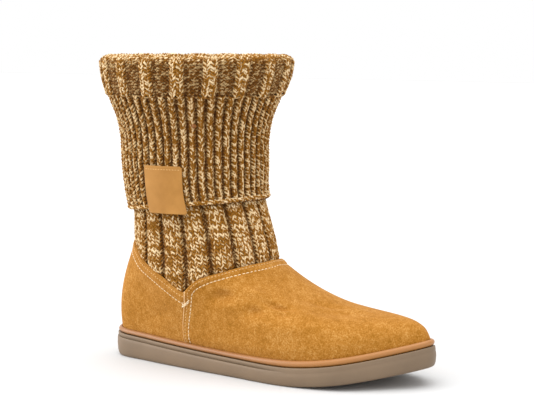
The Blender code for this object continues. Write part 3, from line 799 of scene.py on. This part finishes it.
def yarn_object(name, paths, normals, depths, radius, material, shown=None, sides=5):
    """Rings of yarn as tubes. shown says which points of each ring have a tube after them."""
    rows, count = paths.shape[:2]
    tangent = np.roll(paths, -1, 1) - np.roll(paths, 1, 1)
    tangent /= np.linalg.norm(tangent, axis=-1, keepdims=True)
    side = np.cross(tangent, normals)
    side /= np.linalg.norm(side, axis=-1, keepdims=True)
    up = np.cross(side, tangent)
    turn = np.arange(sides) * 2 * math.pi / sides
    ring = np.cos(turn)[:, None] * up[:, :, None, :] + np.sin(turn)[:, None] * side[:, :, None, :]
    verts = paths[:, :, None, :] + radius * ring
    steps = np.linalg.norm(np.roll(paths, -1, 1) - paths, axis=-1)
    lengths = np.concatenate([np.zeros((rows, 1)), np.cumsum(steps, 1)], 1)
    # Each ring's marl starts elsewhere along the yarn.
    lengths += np.arange(rows)[:, None] * 0.613
    r, p, s = np.meshgrid(np.arange(rows), np.arange(count), np.arange(sides), indexing="ij")
    if shown is not None:
        keep = shown[r, p]
        r, p, s = r[keep], p[keep], s[keep]
    r, p, s = r.ravel(), p.ravel(), s.ravel()

    def index(row, point, turn_step):
        return (row * count + point % count) * sides + turn_step % sides

    faces = np.stack([index(r, p, s), index(r, p, s + 1), index(r, p + 1, s + 1), index(r, p + 1, s)], -1)
    u0, u1 = lengths[r, p], lengths[r, p + 1]
    v0, v1 = s / sides, (s + 1) / sides
    uv = np.stack([np.stack([u0, v0], -1), np.stack([u0, v1], -1), np.stack([u1, v1], -1),
                   np.stack([u1, v0], -1)], 1)
    verts = verts.reshape(-1, 3)
    # Each side of the tube lies as deep as its own place, so the painted shade darkens its back and flanks.
    deep = (depths[:, :, None] + radius * (1 - np.cos(turn))).reshape(-1)
    if shown is not None:
        used, faces = np.unique(faces, return_inverse=True)
        faces = faces.reshape(-1, 4)
        verts, deep = verts[used], deep[used]
    thing = mesh_object(name, verts, faces, [material], uv, deep)
    if shown is not None:
        mend_mesh(thing, sides, turn_out=False)
    return thing


def knitted_rows(face, wales, last_pair_angle, climbs, loop, relief, depth, seed, steps=10):
    """Points, directions and depths of courses of loops on a face, one closed ring for each climb.

    Each loop's yarn starts at its foot, goes up one leg, over the head and down the other leg.
    """
    edges = wale_edges(wales, last_pair_angle)
    count = len(edges) - 1
    kinds = np.tile(wales["kind"], PANELS).astype(float)
    lifts = np.tile(wales["relief"], PANELS).astype(float)
    jitter = np.random.default_rng(seed)
    rows = len(climbs)
    t = np.arange(steps) * 2 * math.pi / steps
    lean = np.where(kinds > 0, KNIT_LEAN, PURL_LEAN)[:, None]
    near = (1 + np.cos(2 * t)) / 2
    own = kinds[:, None]
    left = -(own + np.roll(own, 1)) / 2
    right = -(own + np.roll(own, -1)) / 2
    foot = np.where(t < math.pi / 2, left, np.where(t > 1.5 * math.pi, right, -own))
    out = own - (own - foot) * near
    middles = (edges[:-1] + edges[1:]) / 2

    def uneven(amount):
        return amount * jitter.uniform(-1, 1, (rows, count, 1))

    angles = edges[:-1, None] + np.diff(edges)[:, None] * (t / (2 * math.pi) + lean * np.sin(2 * t))
    lift = np.interp(angles.ravel(), np.concatenate([middles[-1:] - 360, middles, middles[:1] + 360]),
                     np.concatenate([lifts[-1:], lifts, lifts[:1]])).reshape(angles.shape)
    rise = -np.cos(t) / 2 * loop * (1 + uneven(0.08)) + uneven(0.05 * loop) * np.sin(t / 2)
    deep = depth * (1 + uneven(0.2))
    angle = angles + uneven(0.25) * np.sin(t / 2)
    climb = np.asarray(climbs).reshape(rows, -1, 1) + rise
    normal = face_normal(face, angle, climb)
    stand = lift * relief + deep * out
    points = face(angle, climb) + normal * stand[..., None]
    shape = (rows, count * steps, 3)
    sunk = depth + np.max(wales["relief"]) * relief - stand
    return (points.reshape(shape), normal.reshape(shape), sunk.reshape(shape[:2]), angle.reshape(shape[:2]),
            climb.reshape(shape[:2]))


def crease_depth(station, rise):
    """How far the creases push the suede in, by place."""
    depth = np.zeros(np.broadcast(station, rise).shape)
    length = suede_length(station)
    for row in CREASES.values():
        crease = dict(zip(CREASE_COLUMNS, row))
        off = (station - crease["station"] + SECTIONS / 2) % SECTIONS - SECTIONS / 2
        level = off * SOLE_LENGTH * SECTION_RUN / (BALL_WIDTH * crease["long"])
        climb = (rise - crease["up"]) * length / (BALL_WIDTH * crease["wide"])
        turn = math.radians(crease["turn"])
        ratio = crease["long"] / crease["wide"]
        a = level * math.cos(turn) + climb / ratio * math.sin(turn)
        b = -level * ratio * math.sin(turn) + climb * math.cos(turn)
        depth += crease["depth"] * BALL_WIDTH * np.exp(-a * a - b * b)
    return depth


def dressed_suede(station, rise, offset=0.0):
    """The suede's outer face with its lap, edge band and creases, moved outwards by offset."""
    station, rise = np.broadcast_arrays(np.asarray(station, float), np.asarray(rise, float))
    seam = seam_distance(station, rise)
    # The lap's cut edge is rounded like a quarter circle.
    vamp = np.sqrt(1 - (1 - np.clip(seam / LAP_EDGE, 0, 1)) ** 2)
    length = suede_length(station)
    band = band_width(station, seam)
    from_edge = (1 - rise) * length
    above = np.clip(rise * 12, 0, 1)
    valley = np.exp(-((from_edge - band) / VALLEY_WIDTH) ** 2)
    swell = np.clip(1 - np.abs(from_edge - band * 0.5) / (band * 0.5), 0, 1) ** 0.6
    gutter = np.exp(-((seam - SEAM_MAIN) / GUTTER_WIDTH) ** 2)
    gutter = gutter + 0.7 * np.exp(-((seam - SEAM_FINE) / FINE_GUTTER_WIDTH) ** 2)
    gutter = vamp * gutter * np.clip(rise * 6, 0, 1) * np.clip((from_edge - band) / 0.002, 0, 1)
    lift = above * (LAP_STEP * vamp - VALLEY_DEPTH * valley + BAND_SWELL * swell - GUTTER_DEPTH * gutter
                    - crease_depth(station, rise))
    point = suede(station, rise)
    return point + suede_normal(station, rise) * (lift + offset)[..., None]


def suede_columns(rise):
    """Stations round the foot at one rise, close together on the lap's edge and the side seams' thread."""
    near = np.array(SEAM_COLUMNS)
    outer = beside_seam(OUTER_SEAM, near[::-1], rise)
    inner = beside_seam(INNER_SEAM, near, rise)
    behind = np.linspace(outer[-1], inner[0], BACK_COLUMNS + 2)[1:-1]
    ahead = np.linspace(inner[-1], outer[0] + SECTIONS, FRONT_COLUMNS + 2)[1:-1]
    return np.concatenate([outer, behind, inner, ahead]) % SECTIONS


def cut_edge_columns():
    """Which columns of faces of suede_columns lie on the lap's cut edge."""
    near = np.array(SEAM_COLUMNS)
    on_edge = (near > -1e-6) & (near < LAP_EDGE + 1e-6)
    cut = on_edge[:-1] & on_edge[1:]
    columns = np.zeros(2 * len(near) + BACK_COLUMNS + FRONT_COLUMNS, bool)
    columns[:len(cut)] = cut[::-1]
    first = len(near) + BACK_COLUMNS
    columns[first:first + len(cut)] = cut
    return columns


class BOOT_OT_suede(bpy.types.Operator):
    """Vamp and counter: one suede wall with its lap, edge band, creases and lining"""

    bl_idname = "boot.suede"
    bl_label = "Suede upper"

    def execute(self, context):
        def ring(rise, offset=0.0):
            return dressed_suede(suede_columns(rise), rise, offset)

        # The rows lie closer together towards the topline.
        climb = 1 - (1 - np.linspace(0, 1, settings().suede_rows)) ** 1.15
        rings = [ring(-1.0), ring(0.0)]
        rings += [ring(rise) for rise in climb[1:-1]]
        # The cut edge at the topline, rounded a little
        lip = SUEDE / 2
        stations = suede_columns(1.0)
        length = suede_length(stations)
        top = 1.0 - lip * 0.6 / length
        for turn in (0, 45, 90, 135, 180):
            a = math.radians(turn)
            rise = top + lip * 0.6 * math.sin(a) / length
            rings.append(dressed_suede(stations, rise, lip * (math.cos(a) - 1)))
        outer_rows = len(rings)
        rings += [ring(rise, -SUEDE) for rise in np.linspace(0.97, 0, 20)]
        rings.append(ring(-1.0, -SUEDE))
        # The lap's cut edge gets a lighter felt: a painted highlight for the lit line along it.
        materials = [suede_material(), felt_material("lining", "#C9AE86", "#A98858"),
                     felt_material("cut_suede_painted_highlight", "#DCB688", "#C89A64")]
        upper = ring_object("suede_upper", rings, materials)
        around = len(stations)
        face = np.arange(len(upper.data.polygons))
        # Faces on the lap's cut edge take the painted highlight.
        index = np.where(cut_edge_columns()[face % around], 2, 0)
        index[face >= (outer_rows - 1) * around] = 1
        upper.data.polygons.foreach_set("material_index", index.astype(np.int32))
        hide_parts("upper")
        return {"FINISHED"}


def stitch_mesh(name, paths, thickness, pitch, share, material, sunk=0.25):
    """Sewn stitches along paths of points and outward directions: short threads, arched between holes."""
    verts, faces = [], []
    rounds, sides = 5, 6
    for points, normals in paths:
        steps = np.linalg.norm(np.diff(points, axis=0), axis=1)
        length = np.append(0, np.cumsum(steps))
        number = max(1, round(length[-1] / pitch))
        for k in range(number):
            start = (k + 0.5 - share / 2) / number * length[-1]
            end = (k + 0.5 + share / 2) / number * length[-1]
            s = np.linspace(start, end, rounds)
            at = np.stack([np.interp(s, length, points[:, i]) for i in range(3)], -1)
            normal = np.stack([np.interp(s, length, normals[:, i]) for i in range(3)], -1)
            run = at[-1] - at[0]
            run /= np.linalg.norm(run)
            side = np.cross(run, normal)
            side /= np.linalg.norm(side, axis=-1, keepdims=True)
            arch = np.sin(np.linspace(0, math.pi, rounds))
            width = thickness / 2 * (0.45 + 0.55 * arch)
            centre = at + normal * ((arch - 1) * thickness * sunk)[:, None]
            base = len(verts)
            for i in range(rounds):
                for q in range(sides):
                    a = q * 2 * math.pi / sides
                    verts.append(centre[i] + width[i] * (math.cos(a) * normal[i] + math.sin(a) * side[i]))
            for i in range(rounds - 1):
                for q in range(sides):
                    n = (q + 1) % sides
                    faces.append((base + i * sides + q, base + i * sides + n,
                                  base + (i + 1) * sides + n, base + (i + 1) * sides + q))
    thing = mesh_object(name, verts, faces, [material])
    mend_mesh(thing, sides)
    return thing


def suede_path(station, down, offset):
    """Points and directions along the suede, from stations and distances down from the topline."""
    rise = np.clip(1 - down / suede_length(station), 0.0, 1)
    return dressed_suede(station, rise, offset), suede_normal(station, rise)


def seam_turn(seam, inset, band, bend, foot):
    """A row of thread from the vamp's middle along its topline, then down beside a side seam at inset.

    It lies band below the topline, and bend sets how wide a turn it makes at the corner.
    """
    way = -1 if seam == OUTER_SEAM else 1
    top_run = float(seam_run(seam, 0.9))
    # Distances from the seam, from the vamp's middle down to the turn
    away = np.geomspace(OUTER_SEAM * top_run - inset, 0.0006, 200)
    station = seam + way * (away + inset) / top_run
    down = band(band_width(station, 1.0)) + bend * bend / away
    corner_down = down[-1]
    length = float(suede_length(beside_seam(seam, inset, 0.5)))
    tail = np.linspace(corner_down, length - foot, 60)[1:]
    rise = 1 - down / suede_length(station)
    # Near the seam, a distance's station and its rise depend on each other.
    for _ in range(4):
        station = beside_seam(seam, away + inset, np.maximum(rise, 0))
        station = np.where(away > 0.02, seam + way * (away + inset) / top_run, station)
        rise = 1 - down / suede_length(station)
    tail_rise = 1 - tail / length
    station = np.append(station, beside_seam(seam, away[-1] + inset, np.maximum(tail_rise, 0)))
    return station, np.append(down, tail)


def edge_row(width):
    """How far below the topline the fine row lies, where the edge band has a width."""
    return 0.0008 + 0.23 * width


class BOOT_OT_thread(bpy.types.Operator):
    """The seams' rows of cream thread, and the bar tack at each notch"""

    bl_idname = "boot.thread"
    bl_label = "Seam thread"

    def execute(self, context):
        thick, pitch = settings().thread_thickness, settings().thread_pitch
        cream = thread_material("cream_thread", "#F3D9AE")
        tan = thread_material("tan_thread", "#DDB377")
        stand = thick * 0.22
        main, fine = [], []
        for seam in (OUTER_SEAM, INNER_SEAM):
            main.append(suede_path(*seam_turn(seam, SEAM_MAIN, lambda width: width, 0.0014, 0.0006), stand))
            fine.append(suede_path(*seam_turn(seam, SEAM_FINE, edge_row, 0.0012, 0.0006), stand * 0.4))
        back = np.linspace(OUTER_SEAM, INNER_SEAM, 300)
        width = band_width(back, -1.0)
        main.append(suede_path(back, width, stand))
        fine.append(suede_path(back, edge_row(width), stand * 0.4))
        rows = stitch_mesh("topline_thread", main, thick, pitch, 0.80, cream)
        edge_rows = stitch_mesh("edge_thread", fine, thick * 0.85, pitch * 0.85, 0.55, tan)
        tacks = []
        for seam in (OUTER_SEAM, INNER_SEAM):
            for down, slant in TACK_THREADS:
                away = np.linspace(*TACK_SPAN, 8)
                rise = 1 - down / float(suede_length(float(seam)))
                station = beside_seam(seam, away, rise)
                tacks.append(suede_path(station, down + slant * np.linspace(-1, 1, 8), thick * 0.55))
        tack = stitch_mesh("bar_tack", tacks, thick * 1.15, 0.0032, 0.95, cream, 0.15)
        return {"FINISHED"}


def sole_ring(count, inset, height_of):
    """A ring along the sole's outline. inset and height_of may follow how far along it a point lies."""
    plan, outward = outline(np.arange(count) * SECTIONS / count)
    if callable(inset):
        inset = inset(plan[:, 0])[:, None]
    plan = plan - outward * inset
    return np.concatenate([plan, height_of(plan[:, 0])[:, None]], -1)


def step_share(x):
    """1 where the sidewall has its step, fading out at the ball."""
    along = (x + HEEL_SEAT) / SOLE_LENGTH
    return np.clip((STEP_END + 0.05 - along) / 0.10, 0, 1)


def sidewall_rings(count):
    """The outsole's rings: under the edge, up the wall, over the step's groove and the rim, into the cup."""
    step = STEP_HEIGHT + STEP_INSET

    def on_wall(inset, share):
        """Between the tread and the step, at a share of the way up."""
        return sole_ring(count, inset, lambda x: tread(x) + share * (rim(x) - step - tread(x)))

    def near_step(inset, up):
        """Beside the step's groove, whose depth fades towards the toe."""
        return sole_ring(count, lambda x: RIM_INSET + (inset - RIM_INSET) * step_share(x),
                         lambda x: rim(x) - step + up)

    rings = [sole_ring(count, TREAD_MARGIN, tread)]
    # The lower edge is rounded, and the wall bulges a little.
    rings += [sole_ring(count, inset, lambda x, up=up: tread(x) + up) for inset, up in (
        (0.0026, 0.0), (0.0018, 0.0002), (0.0011, 0.0007), (0.0006, 0.0016), (0.0002, 0.0030))]
    rings += [on_wall(inset, share) for inset, share in ((0.0, 0.40), (-0.0002, 0.62), (-0.0001, 0.82))]
    rings += [near_step(inset, up) for inset, up in (
        (0.0, -0.0006), (0.0002, -0.0002), (0.0007, 0.0), (0.0015, 0.0001), (0.0015, 0.0005),
        (0.0009, 0.0006), (0.0006, 0.0009))]
    rings += [sole_ring(count, inset, lambda x, up=up: rim(x) + up) for inset, up in (
        (0.0005, -0.0014), (0.0005, -0.0007), (0.0008, -0.0002), (0.0013, 0.0), (0.0020, -0.0003))]
    cup = FOXING_INSET + FOXING_THICKNESS
    rings += [sole_ring(count, cup, lambda x: rim(x) - 0.0003), sole_ring(count, cup, cup_floor)]
    return rings


def cut_tread(outsole):
    """Cross grooves in the forefoot and heel, kept inside the edge of the sole."""
    plan, _ = outline(np.linspace(0, SECTIONS, 400), TREAD_MARGIN)
    lug_edges = (np.arange(-20, 40) + 0.5) * TREAD_PITCH
    bpy.ops.object.select_all(action="DESELECT")
    cutters = []
    for start, end in TREAD_SPANS:
        low, high = start * SOLE_LENGTH - HEEL_SEAT, end * SOLE_LENGTH - HEEL_SEAT
        for x in lug_edges[(lug_edges > low) & (lug_edges < high)]:
            near = plan[np.abs(plan[:, 0] - x) < TREAD_GROOVE]
            y0, y1 = near[near[:, 1] < 0, 1].max(), near[near[:, 1] > 0, 1].min()
            bpy.ops.mesh.primitive_cube_add(size=1.0, location=(x, (y0 + y1) / 2, float(tread(x))))
            bpy.context.object.scale = (TREAD_GROOVE, y1 - y0, 2 * TREAD_DEPTH)
            cutters.append(bpy.context.object)
    for cutter in cutters:
        cutter.select_set(True)
    bpy.ops.object.join()
    cutter = bpy.context.object
    bpy.ops.object.select_all(action="DESELECT")
    bpy.context.view_layer.objects.active = outsole
    cut = outsole.modifiers.new("tread", "BOOLEAN")
    cut.operation = "DIFFERENCE"
    cut.solver = "EXACT"
    cut.object = cutter
    bpy.ops.object.modifier_apply(modifier=cut.name)
    bpy.data.objects.remove(cutter)


class BOOT_OT_sole(bpy.types.Operator):
    """Rubber outsole with its step, groove and tread, and the foxing strip on its rim"""

    bl_idname = "boot.sole"
    bl_label = "Sole and foxing"

    def execute(self, context):
        count = 288
        outsole = ring_object("rubber_outsole", sidewall_rings(count), [sole_material()], closed=False)
        cut_tread(outsole)
        bpy.ops.object.select_all(action="DESELECT")
        outsole.select_set(True)
        bpy.context.view_layer.objects.active = outsole
        bpy.ops.object.shade_smooth_by_angle(angle=math.radians(50))
        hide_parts("outsole")
        back = FOXING_INSET + FOXING_THICKNESS
        # The strip's section, from its foot round its face to its top: inset and share of its height
        profile = ((back, 0.0), (0.0024, 0.02), (0.0017, 0.10), (0.0012, 0.24), (0.0010, 0.40),
                   (0.0011, 0.56), (0.0015, 0.72), (0.0021, 0.86), (0.0028, 0.96), (back, 0.96))
        strip = ring_object("foxing_strip", [
            sole_ring(count, inset, lambda x, share=share: rim(x) + GAP + share * foxing_height(x))
            for inset, share in profile], [foxing_material()])
        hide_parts("foxing")
        return {"FINISHED"}


class BOOT_OT_insole(bpy.types.Operator):
    """The felt-covered plate in the cup"""

    bl_idname = "boot.insole"
    bl_label = "Insole"

    def execute(self, context):
        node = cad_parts["insole"]
        node.data.materials.clear()
        node.data.materials.append(felt_material("insole_felt", "#D8BE94", "#B7986A"))
        return {"FINISHED"}


def knit_ground_rings():
    """The knitting's ground: a thin wall behind the loops, along the tube, over the fold and down the cuff.

    Gives its rings, and how many of them lie on the inside below the fold.
    """
    around = 216
    angle = np.arange(around) * 360 / around
    radius, fold, centre = cuff_fold()
    edge = topline(angle)
    stations = station_at(angle)
    lapped = 1 - KNIT_LAP / suede_length(stations)
    hem = HEM_HEIGHT + HEM_TILT * np.cos(np.radians(angle)) + 0.001
    inside = -(SUEDE + LAP_SLACK)

    def lap(rise, offset):
        return suede(stations, rise) + suede_normal(stations, rise) * offset

    def tube(height, offset):
        return leg(angle, height, offset)

    def cuff(height, offset):
        return leg(angle, height, cuff_lift(height) - offset)

    def over_fold(depth):
        turned = radius - depth
        return [leg(angle, fold + turned * math.sin(a), centre - turned * math.cos(a))
                for a in np.linspace(0, math.pi, 14)[1:-1]]

    rings = [lap(lapped, inside - LAP_KNIT), lap(1.0, inside - LAP_KNIT)]
    rings += [tube(edge + (HEM_HEIGHT - edge) * s, -KNIT - INSIDE_SLACK) for s in (0.35, 0.7, 1.0)]
    above_hem = np.linspace(HEM_HEIGHT + HEM_TILT + 0.010, fold, 10)
    rings += [tube(height, -KNIT + GROUND_DEPTH - GROUND) for height in above_hem]
    inside_rows = len(rings)
    rings += over_fold(GROUND_DEPTH)
    rings += [cuff(fold + (hem - fold) * s, GROUND_DEPTH) for s in np.linspace(0, 1, 20)]
    rings += [cuff(hem + (fold - hem) * s, GROUND_DEPTH + GROUND) for s in (0.0, 0.3, 0.65, 1.0)]
    rings += over_fold(GROUND_DEPTH + GROUND)[::-3]
    rings += [tube(fold + (HEM_HEIGHT - fold) * s, -KNIT + GROUND_DEPTH) for s in (0.0, 0.5, 0.85)]
    rings += [tube(hem + (edge - hem) * s, -GROUND_DEPTH) for s in (0.1, 0.4, 0.7, 0.9)]
    rings += [lap(1.0, inside), lap(lapped, inside)]
    return rings, inside_rows


class BOOT_OT_knit(bpy.types.Operator):
    """The knitted shaft: its ground, and each loop of yarn on the tube, the cuff, the top band and the hem"""

    bl_idname = "boot.knit"
    bl_label = "Knitted shaft"

    def execute(self, context):
        yarn = settings().yarn_thickness
        pitch, cuff_pitch, band_pitch = settings().shaft_pitch, settings().cuff_pitch, settings().band_pitch
        rings, inside_rows = knit_ground_rings()
        lining = felt_material("knit_wrong_side", "#C09A62", "#6A4618")
        # The ground's own colour is painted shade, the yarn as it looks between the loops.
        ground = ring_object("knit_ground", rings, [painted_shade_ground_material(), lining])
        inside = np.arange(len(ground.data.polygons)) < inside_rows * len(rings[0])
        ground.data.polygons.foreach_set("material_index", inside.astype(np.int32))
        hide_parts("knit_shaft")
        marl = yarn_material("marled_yarn", 0.012, 0.014, 0.30, 0.75, -0.01, 0.0028)
        banded = yarn_material("banded_yarn", 0.030, 0.0046, 0.95, 0.50, -0.02, 0.0035)
        depth = yarn * YARN_SQUASH

        def sunk(face):
            """A face moved in by as much as its loops stand out."""
            base = yarn / 2 + depth
            return lambda angle, climb: face(angle, climb) - face_normal(face, angle, climb) * base

        def knit(name, wales, rib_angle, climbs, pitch, relief, seed, material, steps=10, sides=5):
            """Courses of loops on the cuff, the band or the inside"""
            points, normals, depths, _, _ = knitted_rows(
                sunk(cuff_face), wales, rib_angle, climbs, pitch * LOOP, relief, depth, seed, steps)
            yarn_object(name, points, normals, depths, yarn / 2, material, sides=sides)

        # Tube between the suede and the cuff: wide panels of knit with purled grooves
        first = TOPLINE_SIDE - 0.003
        climbs = np.arange(first, HEM_HEIGHT + HEM_TILT + 0.006, pitch)
        points, normals, depths, angle, climb = knitted_rows(
            sunk(shaft_face), SHAFT_WALES, GROOVE_ANGLE, climbs, pitch * LOOP, GROOVE_DEPTH, depth, 3)
        line = topline(angle)
        hem = HEM_HEIGHT + HEM_TILT * np.cos(np.radians(angle))
        tucked, dip = 0.003, 0.0009
        shown = (climb > line - 0.0012) & (climb < hem + 0.008)
        # The last loops dip behind the suede's edge.
        below = np.clip((line + tucked - climb) / tucked, 0, 1.2)
        points = points - normals * (below * dip)[..., None]
        yarn_object("shaft_yarn", points, normals, depths, yarn / 2, banded, shown)

        # Cuff: knit one, purl one
        band_foot = BOOT_HEIGHT - TOP_BAND
        count = round((band_foot - HEM_HEIGHT) / cuff_pitch)
        share = (np.arange(count) + 0.6) / count
        around = wale_edges(CUFF_WALES, FINE_RIB_ANGLE)
        hem_line = HEM_HEIGHT + HEM_TILT * np.cos(np.radians((around[:-1] + around[1:]) / 2))
        climbs = hem_line[None, :] + (band_foot - hem_line[None, :]) * share[:, None]
        half = count // 2
        for name, part in (("cuff_yarn_lower", slice(0, half)), ("cuff_yarn_upper", slice(half, count))):
            knit(name, CUFF_WALES, FINE_RIB_ANGLE, climbs[part], cuff_pitch, FINE_RIB, 5 + part.start, marl)

        # Top band, over the fold and down inside
        radius, fold, _ = cuff_fold()
        over = fold + math.pi * radius
        climbs = np.arange(band_foot + band_pitch * 0.5, over, band_pitch)
        outside = climbs < fold + 0.001
        for name, part, steps in (("band_yarn", climbs[outside], 10), ("fold_yarn", climbs[~outside], 8)):
            rise = RIB_RISE * np.clip(1 - (part - fold) / radius, -0.2, 1).reshape(-1, 1, 1)
            knit(name, BAND_WALES, BAND_RIB_ANGLE, part, band_pitch, rise, steps, banded, steps)

        # Inside of the shaft
        climbs = np.arange(climbs[-1] + band_pitch, over + INSIDE_KNIT, pitch)
        knit("inside_yarn", BAND_WALES, BAND_RIB_ANGLE, climbs, pitch, 0.0, 13, banded, 8, 4)

        # Bound-off hem: two strands laid round each other, half a turn for each stitch
        turns = 6 * PANELS
        steps = turns * 8
        a = np.arange(steps) * 360 / steps
        strands, directions = [], []
        for phase in (0, math.pi):
            hem = HEM_HEIGHT + HEM_TILT * np.cos(np.radians(a))
            twist = np.arange(steps) * 2 * math.pi * turns / 2 / steps + phase
            height = hem + 0.0004 + yarn * 0.45 * np.sin(twist)
            path = leg(a, height, cuff_lift(hem) - KNIT * 0.42 + yarn * 0.40 * np.cos(twist))
            strands.append(path)
            directions.append(face_normal(shaft_face, a, hem))
        flat = np.zeros((2, steps))
        yarn_object("hem_yarn", np.array(strands), np.array(directions), flat, yarn / 2, marl)
        return {"FINISHED"}


def on_cuff(angle, height, offset=0.0):
    """A point standing off the cuff's ribs."""
    return leg(angle, height, cuff_lift(height) + offset)


class BOOT_OT_label(bpy.types.Operator):
    """The bare leather label, sewn by its top edge, and the small bead above it"""

    bl_idname = "boot.label"
    bl_label = "Label and bead"

    def execute(self, context):
        bpy.ops.object.select_all(action="DESELECT")
        bpy.ops.mesh.primitive_grid_add(x_subdivisions=33, y_subdivisions=36, size=1.0)
        label = bpy.context.object
        label.name = "leather_label"
        radius = ANKLE_LENGTH / 2
        for vert in label.data.vertices:
            across, down = vert.co.x, 0.5 - vert.co.y
            # The label is a little crowned, and its free foot curls outwards.
            angle = LABEL_ANGLE - math.degrees(across * LABEL_WIDTH / radius)
            height = LABEL_TOP - LABEL_HEIGHT * down
            proud = FINE_RIB + GAP + LABEL_THICKNESS / 2 + LABEL_FLARE * down * down
            proud += LABEL_CROWN * math.cos(across * math.pi) * math.sin(down * math.pi)
            vert.co = Vector(on_cuff(angle, height, proud))
        # The four corners are cut off.
        edit = bmesh.new()
        edit.from_mesh(label.data)
        corners = [v for v in edit.verts if len(v.link_faces) == 1]
        bmesh.ops.delete(edit, geom=corners, context="VERTS")
        edit.to_mesh(label.data)
        edit.free()
        mend_mesh(label)
        thick = label.modifiers.new("thickness", "SOLIDIFY")
        thick.thickness = LABEL_THICKNESS
        thick.offset = 0.0
        bevel = label.modifiers.new("edge", "BEVEL")
        bevel.width = LABEL_THICKNESS * 0.25
        bevel.segments = 2
        for modifier in list(label.modifiers):
            bpy.ops.object.modifier_apply(modifier=modifier.name)
        label.data.materials.append(leather_material())
        label.data.polygons.foreach_set("use_smooth", [True] * len(label.data.polygons))
        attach(label, "root")
        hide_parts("label")

        across = np.linspace(-0.46, 0.46, 60)
        angle = LABEL_ANGLE - np.degrees(across * LABEL_WIDTH / radius)
        height = np.full(60, LABEL_TOP - LABEL_SEAM_DOWN)
        face = FINE_RIB + GAP + LABEL_THICKNESS + 0.0001  # just proud of the leather
        rows = [(on_cuff(angle, height, face), face_normal(cuff_face, angle, height))]
        thread = thread_material("label_thread", "#D9A860")
        stitches = stitch_mesh("label_thread", rows, 0.0006, 0.0024, 0.75, thread)

        bpy.ops.object.select_all(action="DESELECT")
        place = on_cuff(BEAD_ANGLE, BEAD_HEIGHT, -0.0002)
        bpy.ops.mesh.primitive_uv_sphere_add(segments=20, ring_count=12, radius=BEAD_RADIUS, location=place)
        bead = bpy.context.object
        bead.name = "bead"
        bpy.ops.object.transform_apply(location=True, rotation=True, scale=True)
        bpy.ops.object.shade_smooth()
        bead.data.materials.append(resin_material())
        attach(bead, "root")
        return {"FINISHED"}


class BOOT_OT_stage(bpy.types.Operator):
    """A plain pale floor, soft studio light, and the camera at the photograph's angle"""

    bl_idname = "boot.stage"
    bl_label = "Stage"

    def execute(self, context):
        scene = context.scene
        bpy.ops.object.select_all(action="DESELECT")
        middle = Vector((0.06, 0, 0.1))
        bpy.ops.mesh.primitive_plane_add(size=12.0, location=(middle.x, 0, 0))
        floor = bpy.context.object
        floor.name = "floor"
        # Matt paper, rolled smooth: an even pale ground
        paper, _ = new_material("pale_floor", Base_Color=(*srgb("#CCCCCC"), 1), Roughness=0.9)
        floor.data.materials.append(paper)

        world = bpy.data.worlds.new("studio")
        world.use_nodes = True
        world.node_tree.nodes["Background"].inputs["Color"].default_value = (1, 1, 1, 1)
        world.node_tree.nodes["Background"].inputs["Strength"].default_value = 1.0
        scene.world = world
        for name, place, spread, power in (
            ("key", (0.1, -1.0, 1.3), 40, 0.5),
            ("left", (-1.2, -0.7, 0.8), 50, 1.8),
            ("right", (1.2, -0.2, 0.7), 50, 0.3),
            ("top", (0.1, 0.1, 1.5), 70, 1.9),
        ):
            bpy.ops.object.light_add(type="SUN", location=place)
            light = bpy.context.object
            light.name = name
            light.data.angle = math.radians(spread)
            light.data.energy = power
            light.rotation_euler = (middle - Vector(place)).to_track_quat("-Z", "Y").to_euler()

        camera_data = bpy.data.cameras.new("camera")
        camera = bpy.data.objects.new("camera", camera_data)
        scene.collection.objects.link(camera)
        # Where the photograph was taken from, solved from the sole's outline
        azimuth, turn, tilt = math.radians(35.16), math.radians(-1.50), math.radians(6.01)
        distance, height, focal_px, frame_px, sensor_mm = 1.2, 0.25, 1603.0, 534, 36.0
        camera.location = (middle.x + math.sin(azimuth) * distance, -math.cos(azimuth) * distance, height)
        aim = azimuth + turn
        ahead = Vector((-math.sin(aim) * math.cos(tilt), math.cos(aim) * math.cos(tilt), -math.sin(tilt)))
        camera.rotation_euler = ahead.to_track_quat("-Z", "Y").to_euler()
        camera_data.sensor_width = sensor_mm
        camera_data.lens = focal_px * sensor_mm / frame_px
        camera_data.clip_start = 0.05
        scene.camera = camera
        scene.view_settings.view_transform = "Standard"
        return {"FINISHED"}


class BOOT_PT_panel(bpy.types.Panel):
    """Lists the boot's pieces in the sidebar"""

    bl_idname = "BOOT_PT_panel"
    bl_label = "Boot"
    bl_space_type = "VIEW_3D"
    bl_region_type = "UI"
    bl_category = "Boot"

    def draw(self, context):
        for name in BootSettings.__annotations__:
            self.layout.prop(context.scene.boot_settings, name)
        for operator in OPERATORS:
            self.layout.operator(operator.bl_idname)


OPERATORS = (
    BOOT_OT_stage, BOOT_OT_sole, BOOT_OT_insole, BOOT_OT_suede, BOOT_OT_thread, BOOT_OT_knit, BOOT_OT_label,
)
CLASSES = (BootSettings, *OPERATORS, BOOT_PT_panel)


def register():
    for cls in CLASSES:
        bpy.utils.register_class(cls)
    bpy.types.Scene.boot_settings = PointerProperty(type=BootSettings)


def unregister():
    del bpy.types.Scene.boot_settings
    for cls in reversed(CLASSES):
        bpy.utils.unregister_class(cls)


def main():
    register()
    bpy.ops.object.select_all(action="DESELECT")
    bpy.ops.boot.stage()
    bpy.ops.boot.sole()
    bpy.ops.boot.insole()
    bpy.ops.boot.suede()
    bpy.ops.boot.thread()
    bpy.ops.boot.knit()
    bpy.ops.boot.label()
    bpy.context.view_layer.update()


if __name__ == "__main__":
    main()
